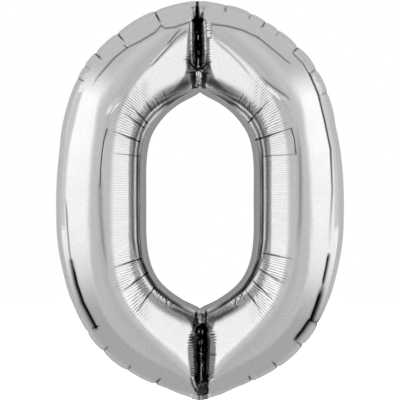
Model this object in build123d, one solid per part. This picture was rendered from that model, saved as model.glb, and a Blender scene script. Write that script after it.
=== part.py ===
from build123d import *
import math
import os

os.makedirs("parts", exist_ok=True)

# Foil number balloon, figure 0, inflated.
# Frame: +Z up, the figure faces -Y, origin at the middle of the figure's height
# and width, on the plane of the heat-sealed seams. Millimetres.

# ---------------------------------------------------------------- dimensions
FIGURE_HEIGHT = 864.0      # inflated, flange edge to flange edge
FIGURE_WIDTH = 620.0       # inflated
HOLE_HEIGHT = 460.0        # free opening, flange edge to flange edge
HOLE_WIDTH = 232.0
FLANGE = 10.0              # width of the flat sealed margin beside each seam
BULGE = 87.0               # how far each panel stands out from the seam plane
WALL = 0.8                 # panel wall
SEAM_GAP = 0.5             # room between the two panels where they are sealed
SEAL = 0.48                # thickness of the melted seal layer
CREASE_DEPTH = 0.45        # share of the bulge that is left in the fold at x = 0
CREASE_REACH = 44.0        # distance from the fold to the full bulge

NECK_WIDTH = 34.0          # filling neck, left open in the outer seal
TAIL_WIDTH = 34.0          # filling tail
TAIL_LENGTH = 84.0
TAIL_PLY = 0.35
TAIL_RADIUS = 101.0        # the folded tail lies along the rear bulge
TAIL_GAP = 0.70            # room between the tail plies
VALVE_WIDTH = 26.0         # self-sealing valve tube
VALVE_INSIDE = 110.0       # length of the valve flaps inside the figure
VALVE_FILM = 0.15

TAB_X = 75.0               # hang tabs, left and right of the middle
TAB_WIDTH = 24.0
TAB_LENGTH = 22.0
TAB_THICK = 0.8
TAB_HOLE_R = 2.5
TAB_FOOT = 7.0

# outer flange edge, right half, from the top middle to the bottom middle (x, z)
OUTER = [(0, 431), (42, 424.5), (84, 412.5), (125, 393.5), (157, 374), (184, 354),
         (204, 336.5), (222, 317), (237, 297), (251, 275), (263, 252), (274, 226),
         (283, 198), (291, 165), (299, 130), (304.5, 95), (308, 60), (310, 20),
         (310, -40), (308, -85), (302.5, -122), (295, -157), (286, -192),
         (274, -226), (258, -260), (239, -292), (219, -316), (194, -341),
         (164, -364), (132, -384), (94, -402), (55, -417), (20, -427.5), (0, -432)]
# hole flange edge, right half, top to bottom
HOLE = [(0, 230), (20, 219.5), (44, 206), (67, 189), (83, 172), (96, 154), (105, 137),
        (110.5, 119), (114, 98), (116, 70), (116, 0), (116, -70), (114.5, -96),
        (111, -120), (105.5, -140), (98, -158), (87, -175), (70, -192), (48, -208),
        (22, -222), (0, -232)]


def smooth(points):
    """One smooth edge through (x, z) points on the seam plane."""
    return Spline(*[(x, 0, z) for x, z in points])


OUTER_EDGE = smooth(OUTER)
HOLE_EDGE = smooth(HOLE)


def seam_point(edge, t, side):
    """Seam point beside edge at t; side +1 moves towards the hole's middle."""
    p, d = edge @ t, edge % t
    n = Vector(d.Z, 0, -d.X) * side      # right-hand normal in the XZ plane
    if t in (0.0, 1.0):                  # the tips lie on the fold
        dz = FLANGE / max(abs(n.Z), 0.5)
        return Vector(0, 0, p.Z + math.copysign(dz, n.Z))
    q = p + n * FLANGE
    return Vector(q.X, 0, q.Z)


def split_at_side(edge):
    """Parameter where the edge crosses z = 0."""
    lo, hi = 0.0, 1.0
    for _ in range(40):
        mid = (lo + hi) / 2
        if (edge @ mid).Z > 0:
            lo = mid
        else:
            hi = mid
    return (lo + hi) / 2


SIDE_O, SIDE_H = split_at_side(OUTER_EDGE), split_at_side(HOLE_EDGE)
MID_RUN = 435.0            # mean length of a quarter of the limb
QUARTER = [0, 4.5, 10, 18, 29, 44, 72, 110, 155, 205, 255, 305, 350, 392, 435]


def crease(distance):
    """Share of the full bulge at a distance from the fold."""
    if distance >= CREASE_REACH:
        return 1.0
    u = distance / CREASE_REACH
    return CREASE_DEPTH + (1 - CREASE_DEPTH) * math.sin(math.pi / 2 * u)


def stations():
    """(t on outer edge, t on hole edge, share of the bulge), top to bottom."""
    out = []
    for d in QUARTER:
        f = d / MID_RUN
        out.append((f * SIDE_O, f * SIDE_H, crease(d)))
    for d in QUARTER[-2::-1]:
        f = d / MID_RUN
        out.append((1 - f * (1 - SIDE_O), 1 - f * (1 - SIDE_H), crease(d)))
    return out


def bulge_section(inner, outer, share, wall, foot):
    """Closed half-round section of the front bulge over one pair of seam points.

    wall is added outside the seam points; foot is how far the section's flat
    side lies behind the panel's sealed face.
    """
    chord = outer - inner
    r, h = chord.length / 2 + wall, BULGE * share + wall
    d = chord.normalized()
    m = (inner + outer) * 0.5
    base = SEAM_GAP / 2

    def at(u, v):
        return m + d * u + Vector(0, -v, 0)

    n = 12
    up = Vector(0, -1, 0)
    pts = [at(-r * math.cos(math.pi * i / n), base + h * math.sin(math.pi * i / n))
           for i in range(n + 1)]
    edges = [Spline(*pts, tangents=(up, up * -1))]
    if foot:
        edges += [Line(pts[-1], at(r, base - foot)), Line(at(r, base - foot), at(-r, base - foot)),
                  Line(at(-r, base - foot), pts[0])]
    else:
        edges += [Line(pts[-1], pts[0])]
    return Wire(edges)


outer_seam, hole_seam, outer_flange, hole_flange, shares = [], [], [], [], []
for t_o, t_h, share in stations():
    o = seam_point(OUTER_EDGE, t_o, 1)
    i = seam_point(HOLE_EDGE, t_h, -1)
    d = (o - i).normalized()
    outer_seam.append(o)
    hole_seam.append(i)
    outer_flange.append(o + d * FLANGE)
    hole_flange.append(i - d * FLANGE)
    shares.append(share)


def loop(points):
    """Closed face bounded by a right-half edge and its mirror image."""
    right = Spline(*points)
    left = right.mirror(Plane.YZ)
    return Face(Wire([right, left]))


# ---------------------------------------------------------------- foil panels
def right_half(wall, foot):
    wires = [bulge_section(i, o, s, wall, foot) for i, o, s in zip(hole_seam, outer_seam, shares)]
    solid = Solid.make_loft(wires, ruled=False)
    return solid & (Pos(250, 0, 0) * Box(500, 400, 1000))


NECK_Z = -429.5            # the flange's bottom tip is cut square at the neck
tip = Pos(0, 0, NECK_Z - 10) * Box(60, 8, 20)


def ring(big, small, thick, y):
    """Flat ring between two outlines, thick along Y, its middle at y."""
    flat = loop(big) - loop(small)
    return Pos(0, y, 0) * (extrude(flat, thick / 2, dir=(0, 1, 0), both=True) - tip)


right_side = Pos(250, 0, 0) * Box(500, 400, 1000)
plate = ring(outer_flange, hole_flange, WALL, -(SEAM_GAP + WALL) / 2)
right_panel = (right_half(WALL, 0) + (plate & right_side)) - right_half(0.0, 1.0)
front_panel = right_panel + right_panel.mirror(Plane.YZ)
rear_panel = front_panel.mirror(Plane.XZ)


# ---------------------------------------------------------------- seal bands
outer_seal = ring(outer_flange, outer_seam, SEAL, 0)
outer_seal = outer_seal - Pos(0, 0, -420) * Box(NECK_WIDTH, 4, 60)
hole_seal = ring(hole_seam, hole_flange, SEAL, 0)


# ---------------------------------------------------------------- valve
def sheet(x0, x1, y0, y1, z0, z1):
    return Pos((x0 + x1) / 2, (y0 + y1) / 2, (z0 + z1) / 2) * Box(x1 - x0, y1 - y0, z1 - z0)


VALVE_Z = -416.9           # just inside the seam, over the valve's whole width
hv = VALVE_WIDTH / 2
# flat tube in the neck: two films, welded along their two sides
neck_tube = (sheet(-hv, hv, -0.22, -0.07, NECK_Z + 0.3, VALVE_Z) +
             sheet(-hv, hv, 0.07, 0.22, NECK_Z + 0.3, VALVE_Z) +
             sheet(-hv, -hv + 3, -0.22, 0.22, NECK_Z + 0.3, VALVE_Z) +
             sheet(hv - 3, hv, -0.22, 0.22, NECK_Z + 0.3, VALVE_Z))


def valve_flap(side):
    """One film of the valve inside the figure, tapered to its free end."""
    y0, y1 = sorted((side * 0.07, side * (0.07 + VALVE_FILM)))
    z0, z1 = VALVE_Z + 0.4, VALVE_Z + VALVE_INSIDE
    half = Polyline((-hv, z0), (hv, z0), (hv, z1 - 30), (hv * 0.72, z1 - 8), (hv * 0.6, z1),
                    (-hv * 0.6, z1), (-hv * 0.72, z1 - 8), (-hv, z1 - 30), close=True)
    f = make_face(half)                       # drawn on XY
    body = extrude(f, VALVE_FILM)             # thickness along +Z
    body = Rot(90, 0, 0) * body               # (x, y, z) -> (x, -z, y)
    return Pos(0, y1, 0) * body


flap_front = valve_flap(-1)
flap_rear = valve_flap(1)

# ---------------------------------------------------------------- filling tail
HINGE_Y, HINGE_Z = 0.0, NECK_Z - 1.3
START_DEG = 5.0            # slope of the tail where it leaves the fold
C_Y = HINGE_Y - TAIL_RADIUS * math.sin(math.radians(START_DEG))
C_Z = HINGE_Z + TAIL_RADIUS * math.cos(math.radians(START_DEG))


def tail_layer(r0, r1, x0, x1, s0, s1):
    """Part of the curved tail: radii r0-r1, width x0-x1, run s0-s1 from the fold."""
    a0 = math.radians(START_DEG) + s0 / TAIL_RADIUS
    a1 = math.radians(START_DEG) + s1 / TAIL_RADIUS

    def p(r, a):
        return (C_Y + r * math.sin(a), C_Z - r * math.cos(a))

    am = (a0 + a1) / 2
    sk = Wire([Edge.make_three_point_arc(Vector(x0, *p(r0, a0)), Vector(x0, *p(r0, am)), Vector(x0, *p(r0, a1))),
               Edge.make_line(Vector(x0, *p(r0, a1)), Vector(x0, *p(r1, a1))),
               Edge.make_three_point_arc(Vector(x0, *p(r1, a1)), Vector(x0, *p(r1, am)), Vector(x0, *p(r1, a0))),
               Edge.make_line(Vector(x0, *p(r1, a0)), Vector(x0, *p(r0, a0)))])
    return extrude(Face(sk), x1 - x0, dir=(1, 0, 0))


ht = TAIL_WIDTH / 2
g = TAIL_GAP / 2
R = TAIL_RADIUS
FOLD_R = 0.5               # rolled fold on the hinge line, part of the outer ply
tail_outer = (tail_layer(R + g, R + g + TAIL_PLY, -ht, ht, 0.0, TAIL_LENGTH) +
              Pos(0, HINGE_Y, HINGE_Z) * Rot(0, 90, 0) * Cylinder(FOLD_R, TAIL_WIDTH))
tail_inner = tail_layer(R - g - TAIL_PLY, R - g, -ht, ht, 0.8, TAIL_LENGTH)
SEAL_T = TAIL_GAP / 2 - 0.01
tail_seals = (tail_layer(R - SEAL_T, R + SEAL_T, -ht, -hv - 0.3, 0.8, TAIL_LENGTH) +
              tail_layer(R - SEAL_T, R + SEAL_T, hv + 0.3, ht, 0.8, TAIL_LENGTH))
tail_tube = (tail_layer(R - 0.27, R - 0.12, -hv, hv, 1.0, TAIL_LENGTH - 12) +
             tail_layer(R + 0.12, R + 0.27, -hv, hv, 1.0, TAIL_LENGTH - 12) +
             tail_layer(R - 0.27, R + 0.27, -hv, -hv + 3, 1.0, TAIL_LENGTH - 12) +
             tail_layer(R - 0.27, R + 0.27, hv - 3, hv, 1.0, TAIL_LENGTH - 12))

# ---------------------------------------------------------------- hang tabs
TAB_HINGE_Y = SEAM_GAP / 2 + WALL + 0.9
TAB_INSET = 1.5            # hinge line inside the flange's edge
FOOT_Y0 = SEAM_GAP / 2 + WALL + 0.02


def edge_at(x):
    """Point, tangent and inward normal of the outer edge near the top at x."""
    lo, hi = 0.0, 0.25
    for _ in range(40):
        mid = (lo + hi) / 2
        if (OUTER_EDGE @ mid).X < x:
            lo = mid
        else:
            hi = mid
    d = (OUTER_EDGE % lo).normalized()
    return OUTER_EDGE @ lo, d, Vector(d.Z, 0, -d.X)


edge_p, edge_d, edge_n = edge_at(TAB_X)
tab_origin = edge_p + edge_n * TAB_INSET + Vector(0, TAB_HINGE_Y, 0)
# x along the flange, y to the rear, z outward
TAB_PLANE = Plane(origin=tab_origin, x_dir=edge_d, z_dir=edge_n * -1)

w2, tl = TAB_WIDTH / 2, TAB_LENGTH
leaf = Polyline((-w2, 0), (w2, 0), (w2, tl - 7), (w2 - 7, tl), (-w2 + 7, tl), (-w2, tl - 7), close=True)
tab_local = (extrude(make_face(leaf), TAB_THICK / 2, both=True)
             + Rot(0, 90, 0) * Cylinder(TAB_THICK / 2, TAB_WIDTH)
             - Pos(0, tl - 9, 0) * Cylinder(TAB_HOLE_R, 4))
foot_local = Pos(0, FOOT_Y0 + 0.2 - TAB_HINGE_Y, -0.6 - TAB_FOOT / 2) * Box(TAB_WIDTH, 0.4, TAB_FOOT)
tab_right = TAB_PLANE.location * tab_local
tab_left = tab_right.mirror(Plane.YZ)
foot_right = TAB_PLANE.location * foot_local
tab_feet = Compound([foot_right.mirror(Plane.YZ), foot_right])
print("tab hinge", tab_origin, "axis", edge_d, "outward", edge_n * -1)
hole_at = tab_origin + Vector(0, tl - 9, 0)
print("tab hole", hole_at, "tail hinge", HINGE_Y, HINGE_Z)

# ---------------------------------------------------------------- write
PIECES = {
    "front_foil_panel": front_panel,
    "rear_foil_panel": rear_panel,
    "outer_heat_seal": outer_seal,
    "hole_heat_seal": hole_seal,
    "valve_neck_tube": neck_tube,
    "valve_flap_front": flap_front,
    "valve_flap_rear": flap_rear,
    "fill_tail_outer_ply": tail_outer,
    "fill_tail_inner_ply": tail_inner,
    "fill_tail_side_seals": tail_seals,
    "valve_tail_tube": tail_tube,
    "hang_tab_left": tab_left,
    "hang_tab_right": tab_right,
    "hang_tab_feet": tab_feet,
}
for name, shape in PIECES.items():
    solids = shape.solids()
    bb = shape.bounding_box()
    print(f"{name}: {len(solids)} solids, {sum(s.volume for s in solids):.1f} mm3, "
          f"valid {all(s.is_valid for s in solids)}, "
          f"x {bb.min.X:.1f}..{bb.max.X:.1f} y {bb.min.Y:.2f}..{bb.max.Y:.2f} z {bb.min.Z:.1f}..{bb.max.Z:.1f}")
    export_step(solids[0] if len(solids) == 1 else Compound(solids), f"parts/{name}.step")
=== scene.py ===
"""Silver foil balloon in the shape of a tall ring (a figure 0), with its filling tail
and two hang tabs.

The scene is in metres, +Z up. The balloon stands centred on the origin in the XZ plane,
its front towards -Y and the camera, +X to the right. Shapes are worked out in mm.

A sheet is an array (3, columns, rows). Columns run round the figure from the top fold
by +X, the bottom fold and -X; rows run from the hole seam to the outer seam.
"""
import math

import bmesh
import bpy
import numpy as np
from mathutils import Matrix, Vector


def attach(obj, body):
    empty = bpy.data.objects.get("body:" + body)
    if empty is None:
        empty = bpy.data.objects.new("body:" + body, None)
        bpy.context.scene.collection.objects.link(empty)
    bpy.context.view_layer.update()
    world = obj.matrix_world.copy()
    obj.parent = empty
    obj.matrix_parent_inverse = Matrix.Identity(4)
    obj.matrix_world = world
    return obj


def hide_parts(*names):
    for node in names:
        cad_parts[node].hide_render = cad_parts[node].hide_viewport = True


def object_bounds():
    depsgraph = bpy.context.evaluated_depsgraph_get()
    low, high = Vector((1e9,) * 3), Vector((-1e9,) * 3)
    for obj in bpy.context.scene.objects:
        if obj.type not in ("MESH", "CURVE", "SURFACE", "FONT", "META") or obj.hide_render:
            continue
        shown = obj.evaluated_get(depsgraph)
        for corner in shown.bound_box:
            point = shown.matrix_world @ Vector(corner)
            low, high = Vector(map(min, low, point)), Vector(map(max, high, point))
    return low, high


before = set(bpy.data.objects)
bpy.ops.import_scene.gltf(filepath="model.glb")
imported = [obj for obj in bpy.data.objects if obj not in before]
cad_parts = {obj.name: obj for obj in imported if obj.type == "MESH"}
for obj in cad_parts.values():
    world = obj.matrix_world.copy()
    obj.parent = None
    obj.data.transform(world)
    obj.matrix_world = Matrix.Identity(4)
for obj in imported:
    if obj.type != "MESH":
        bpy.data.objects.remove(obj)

CAD_BOX = [list(map(float, v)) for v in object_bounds()]
CAMERA_DISTANCE = 4.0    # m

# ------------------------------------------------------------------ outline
# seam outlines (x, z), +X half, top to bottom
OUTER = [
    (0, 431), (42, 424.5), (84, 412.5), (125, 393.5), (157, 374), (184, 354), (204, 336.5),
    (222, 317), (237, 297), (251, 275), (263, 252), (274, 226), (283, 198), (291, 165),
    (299, 130), (304.5, 95), (308, 60), (310, 20), (310, -40), (308, -85), (302.5, -122),
    (295, -157), (286, -192), (274, -226), (258, -260), (239, -292), (219, -316),
    (194, -341), (164, -364), (132, -384), (94, -402), (55, -417), (20, -427.5), (0, -432)]
HOLE = [
    (0, 230), (20, 219.5), (44, 206), (67, 189), (83, 172), (96, 154), (105, 137),
    (110.5, 119), (114, 98), (116, 70), (116, 0), (116, -70), (114.5, -96), (111, -120),
    (105.5, -140), (98, -158), (87, -175), (70, -192), (48, -208), (22, -222), (0, -232)]
MARGIN = 10.0            # width of the sealed margin
MARGIN_ROWS = 2
BULGE = 87.5             # half depth of the limb
SMOOTHING = 22           # half width of the outline's smoothing
QUARTER_POINTS = 801     # points of a quarter seam


def ease(x, a, b):
    """Smooth step from 0 at a to 1 at b."""
    x = np.clip((x - a) / (b - a), 0, 1)
    return x * x * (3 - 2 * x)


def window(x, a, b, c, d):
    """Rises over a..b and falls over c..d."""
    return ease(x, a, b) * (1 - ease(x, c, d))


def run_length(points):
    return np.r_[0, np.cumsum(np.linalg.norm(np.diff(points, axis=0), axis=1))]


def resample(points, count):
    """Evenly spaced points along a plane curve."""
    run = run_length(points)
    u = np.linspace(0, run[-1], count)
    return np.c_[np.interp(u, run, points[:, 0]), np.interp(u, run, points[:, 1])]


def smooth_curve(points, count):
    """Natural cubic through the points, lightly smoothed and evenly spaced."""
    P = np.array(points, float)
    run = run_length(P)
    m = len(P)
    h = np.diff(run)
    A = np.zeros((m, m))
    B = np.zeros((m, 2))
    A[0, 0] = A[-1, -1] = 1
    for i in range(1, m - 1):
        A[i, i - 1:i + 2] = h[i - 1], 2 * (h[i - 1] + h[i]), h[i]
        B[i] = 6 * ((P[i + 1] - P[i]) / h[i] - (P[i] - P[i - 1]) / h[i - 1])
    M = np.linalg.solve(A, B)
    u = np.linspace(0, run[-1], 4000)
    i = np.clip(np.searchsorted(run, u) - 1, 0, m - 2)
    t = u - run[i]
    span = h[i]
    a = ((span - t) / span)[:, None]
    b = (t / span)[:, None]
    Q = (a * P[i] + b * P[i + 1]
         + ((a**3 - a) * M[i] + (b**3 - b) * M[i + 1]) * (span[:, None]**2) / 6)
    w = int(SMOOTHING / (run_length(Q)[-1] / 2000))
    Q = resample(Q, 2001)
    kernel = np.hanning(2 * w + 3)[1:-1]
    kernel /= kernel.sum()
    E = np.r_[2 * Q[0] - Q[1:w + 1][::-1], Q, 2 * Q[-1] - Q[-w - 1:-1][::-1]]
    return resample(np.c_[np.convolve(E[:, 0], kernel, "valid"),
                          np.convolve(E[:, 1], kernel, "valid")], count)


def seam(points, side):
    """Edge curve moved by the margin towards the tube, ended on x = 0."""
    Q = smooth_curve(points, 3001)
    T = np.gradient(Q, axis=0)
    T /= np.linalg.norm(T, axis=1)[:, None]
    R = Q + np.c_[T[:, 1], -T[:, 0]] * side * MARGIN
    R = R[R[:, 0] >= 0]

    def to_axis(a, b):
        d = a - b
        return a + d * (-a[0] / d[0]) if a[0] > 1e-6 and d[0] < 0 else np.array([0, a[1]])
    return np.r_[[to_axis(R[0], R[6])], R, [to_axis(R[-1], R[-7])]]


def quarters(curve):
    """Upper and lower quarter, each from its fold to the side at z = 0."""
    i = int(np.argmax(curve[:, 1] <= 0))
    f = curve[i - 1, 1] / (curve[i - 1, 1] - curve[i, 1])
    middle = curve[i - 1] + (curve[i] - curve[i - 1]) * f
    return [resample(Q, QUARTER_POINTS)
            for Q in (np.r_[curve[:i], [middle]], np.r_[[middle], curve[i:]][::-1])]


OUTER_Q, HOLE_Q = quarters(seam(OUTER, 1)), quarters(seam(HOLE, -1))
MEAN_HALF_WIDTH = np.mean([np.linalg.norm(o - h, axis=1).mean() / 2
                           for o, h in zip(OUTER_Q, HOLE_Q)])

# ------------------------------------------------------------------ smooth surface
# top and bottom fold: slope in degrees, length of the straight flank and radius of the
# roll, against the place FOLD_AT from hole seam 0 to outer seam 1
FOLD_AT = [0.0, 0.05, 0.14, 0.24, 0.31, 0.38, 0.50, 0.62, 0.75, 0.88, 0.95, 1.0]
FOLDS = [dict(slope=[16, 44, 46, 46, 68, 80, 83, 83, 82, 74, 46, 14],
              flank=[1, 3, 5, 6, 26, 48, 60, 58, 50, 28, 10, 3],
              radius=[6, 10, 11, 12, 12, 12, 12, 13, 14, 15, 12, 8]),
         dict(slope=[16, 44, 48, 50, 70, 79, 81, 81, 80, 72, 40, 6],
              flank=[1, 3, 5, 8, 32, 52, 60, 58, 50, 32, 12, 3],
              radius=[6, 10, 11, 12, 12, 12, 12, 13, 13, 14, 12, 8])]
# upper and lower limb, against the place SECTION_AT from the fold 0 to the side 1:
# crown position across the limb, fullness of the outer and of the inner flank
SECTION_AT = [0.0, 0.10, 0.20, 0.30, 0.42, 0.55, 0.70, 0.85, 1.0]
INNER_FULL = [1.45, 1.42, 1.40, 1.42, 1.5, 1.7, 1.9, 2.0, 2.0]
SECTIONS = [([0.76, 0.66, 0.57, 0.51, 0.47, 0.47, 0.49, 0.50, 0.50],
             [3.0, 3.4, 3.8, 3.8, 3.4, 2.8, 2.2, 2.0, 2.0], INNER_FULL),
            ([0.86, 0.66, 0.55, 0.49, 0.46, 0.47, 0.49, 0.50, 0.50],
             [3.2, 3.8, 4.2, 4.4, 4.2, 3.6, 2.9, 2.2, 2.0], INNER_FULL)]


def fold_path(t, fold):
    """Profile of a fold at row place t: run along the film, distance and height."""
    slope, flank, radius = (np.interp(t, FOLD_AT, fold[k]) for k in ("slope", "flank", "radius"))
    end = flank + radius * np.pi / 2 * 1.3
    a = np.linspace(0, end, 400)
    angle = math.radians(slope) * ease(a, 0, 6.0) * (1 - ease(a, flank, end))
    middle = (angle[1:] + angle[:-1]) / 2
    x = np.r_[0, np.cumsum(np.cos(middle) * np.diff(a))]
    h = np.r_[0, np.cumsum(np.sin(middle) * np.diff(a))]
    return a, x, h[-1] - h


def section(which, rows):
    """Place across the limb and depth of rows + 1 evenly spaced rows, per column."""
    g = np.linspace(0, 1, QUARTER_POINTS)
    kernel = np.hanning(63)
    kernel /= kernel.sum()
    crown, outer, inner = (
        np.convolve(np.r_[v[31:0:-1], v, v[-2:-33:-1]], kernel, "valid")
        for v in (np.interp(g, SECTION_AT, values) for values in SECTIONS[which]))
    a = np.linspace(0, np.pi / 2, 240)
    width = np.linalg.norm(OUTER_Q[which] - HOLE_Q[which], axis=1)
    depth = BULGE * (width / 2 / MEAN_HALF_WIDTH)**0.35
    across = np.zeros((QUARTER_POINTS, rows + 1))
    height = np.zeros_like(across)
    t = np.linspace(0, 1, rows + 1)
    for c in range(QUARTER_POINTS):
        vi, hi = np.cos(a)**(2 / inner[c]), np.sin(a)**(2 / inner[c])
        vo, ho = np.sin(a)**(2 / outer[c]), np.cos(a)**(2 / outer[c])
        u = np.r_[crown[c] * (1 - vi), crown[c] + (1 - crown[c]) * vo[1:]]
        h = np.r_[hi, ho[1:]] * depth[c]
        run = np.r_[0, np.cumsum(np.hypot(np.diff(u) * width[c], np.diff(h)))]
        across[c] = np.interp(t * run[-1], run, u)
        height[c] = np.interp(t * run[-1], run, h)
    return across, height


def grid_rows(rows):
    """(row, side, way into the margin) of a closed grid: hole seam, front rows, outer
    seam, rear rows, then the hole margin and the outer margin. Side -1 front, +1 rear."""
    steps = [(f + 1) / MARGIN_ROWS * MARGIN for f in range(MARGIN_ROWS)]
    return ([(rows - abs(rows - j), (j > rows) - (0 < j < rows), 0) for j in range(2 * rows)]
            + [(0, 0, -w) for w in steps] + [(rows, 0, w) for w in steps])


def split(grid, rows):
    """Front, rear, hole margin and outer margin of a closed grid."""
    turn = 2 * rows
    rear = np.concatenate([grid[:, :, rows:turn], grid[:, :, :1]], 2)[:, :, ::-1]
    return (grid[:, :, :rows + 1], rear, grid[:, :, turn:turn + MARGIN_ROWS],
            grid[:, :, turn + MARGIN_ROWS:])


def target(quarter, rows, fractions):
    """Smooth inflated surface on a closed grid of 4 * quarter columns."""
    columns = 4 * quarter
    levels = grid_rows(rows)
    X = np.zeros((3, columns, len(levels)))
    k = np.arange(quarter + 1)
    for which in (0, 1):
        I, O = HOLE_Q[which], OUTER_Q[which]
        D = O - I
        L = np.linalg.norm(D, axis=1)
        Dn = D / L[:, None]
        up = 1 if which == 0 else -1
        across, height = section(which, rows)
        centre = np.array([0, 0, (I[0, 1] + O[0, 1]) / 2])
        for j, (row, side, fin) in enumerate(levels):
            P = I + Dn * (L * across[:, row] + fin)[:, None]
            P3 = np.c_[P[:, 0], side * height[:, row], P[:, 1]]
            d = run_length(P3)
            a, x, h = fold_path(row / rows, FOLDS[which])
            extra = a[-1] - x[-1]
            run = fractions * (d[-1] + extra)
            xi = np.where(run < a[-1], np.interp(run, a, x), run - extra)
            hi = np.where(run < a[-1], np.interp(run, a, h), 0)
            out = np.stack([np.interp(xi, d, P3[:, i]) for i in range(3)])
            inward = centre - P3[0]
            inward = inward / np.linalg.norm(inward)
            if row in (0, rows):
                inward = np.array([0, 0, (1 if row == 0 else -1) * up * 1.0])
            out = out + inward[:, None] * hi
            mirrored = out * np.array([-1, 1, 1])[:, None]
            right, left = ((k, (columns - k) % columns) if which == 0 else
                           (2 * quarter - k, 2 * quarter + k))
            X[:, right, j] = out
            X[:, left, j] = mirrored
    X[0, 0] = 0
    X[0, 2 * quarter] = 0
    return X


# ------------------------------------------------------------------ film solver
OUTER_EXCESS, INNER_EXCESS = 0.012, 0.016    # extra film, as a share of the length
SLACK_SEED = 5
ANCHOR = 0.004           # pull towards the smooth surface
DAMPING = 0.95
SWEEPS = 2               # constraint sweeps per step
BEND = 0.05              # stiffness against bending
FOLD_GAP = 0.3           # least distance from x = 0
HALF_GAP = 0.2           # least distance of either panel from y = 0


def cross(a, b):
    return np.stack([a[1] * b[2] - a[2] * b[1], a[2] * b[0] - a[0] * b[2],
                     a[0] * b[1] - a[1] * b[0]])


def noise(count, low, high, seed):
    """Periodic smooth noise with unit spread."""
    rng = np.random.default_rng(seed)
    x = np.arange(count) * 2 * np.pi / count
    y = np.zeros(count)
    for k in range(low, high + 1):
        y += rng.normal() * np.cos(k * x) + rng.normal() * np.sin(k * x)
    return y / max(y.std(), 1e-9)


def fold_nearness(quarter):
    """1 at the folds .. 0 at the sides, per column."""
    return np.abs(((np.arange(4 * quarter) / quarter) % 2) - 1)


def excess(quarter, rows):
    """Extra film along the seams, as a share of the smooth length."""
    count = 4 * quarter
    levels = grid_rows(rows)
    E = np.zeros((count, len(levels)))
    near = fold_nearness(quarter)
    corner = window(near, 0.24, 0.40, 0.56, 0.70)
    for j, (row, side, _) in enumerate(levels):
        t = row / rows
        seed = SLACK_SEED + 50 * (side > 0)
        coarse = noise(count, 4, 18, seed)
        fine = noise(count, 12, 60, seed + 1)
        outer = (ease(t, 0.62, 1.0) * (OUTER_EXCESS + 0.45 * OUTER_EXCESS * coarse)
                 * (0.55 + 0.45 * near))
        inner = ((1 - ease(np.abs(t - 0.14), 0.02, 0.20)) * corner
                 * (INNER_EXCESS + 0.4 * INNER_EXCESS * fine))
        E[:, j] = 0.002 + np.clip(outer, 0, 1) + np.clip(inner, 0, 1)
    return E


def pull(A, B, length, stiffness=1.0):
    """Move the paired points A and B towards their rest distance."""
    d = B - A
    now = np.sqrt(d[0] * d[0] + d[1] * d[1] + d[2] * d[2]) + 1e-9
    c = (now - length) / now * (0.5 * stiffness)
    d *= c
    A += d
    B -= d


def pull_ring(X, length):
    """Neighbours along axis 1, closed."""
    pull(X[:, 0::2], X[:, 1::2], length[0::2])
    pull(X[:, 1:-1:2], X[:, 2::2], length[1:-1:2])
    pull(X[:, -1:], X[:, 0:1], length[-1:])


def pull_second(X, length):
    """Points two apart along axis 1, against bending."""
    for a in range(4):
        A, B = X[:, a:-2:4], X[:, a + 2::4]
        n = min(A.shape[1], B.shape[1])
        pull(A[:, :n], B[:, :n], length[a:-2:4][:n], BEND)


def cubic(grid, at, axis, closed):
    """Cubic sample of a grid at the places at along an axis."""
    grid = np.moveaxis(grid, axis, -1)
    count = grid.shape[-1]
    if not closed:
        at = np.clip(at, 0, count - 1)
    i = np.floor(at).astype(int)
    if not closed:
        i = np.minimum(i, count - 2)
    f = (at - i).astype(grid.dtype)
    a, b, c, d = (grid[..., (i + k) % count if closed else np.clip(i + k, 0, count - 1)]
                  for k in (-1, 0, 1, 2))
    value = b + 0.5 * f * (c - a + f * (2 * a - 5 * b + 4 * c - d + f * (3 * (b - c) + d - a)))
    return np.moveaxis(value, -1, axis)


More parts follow.
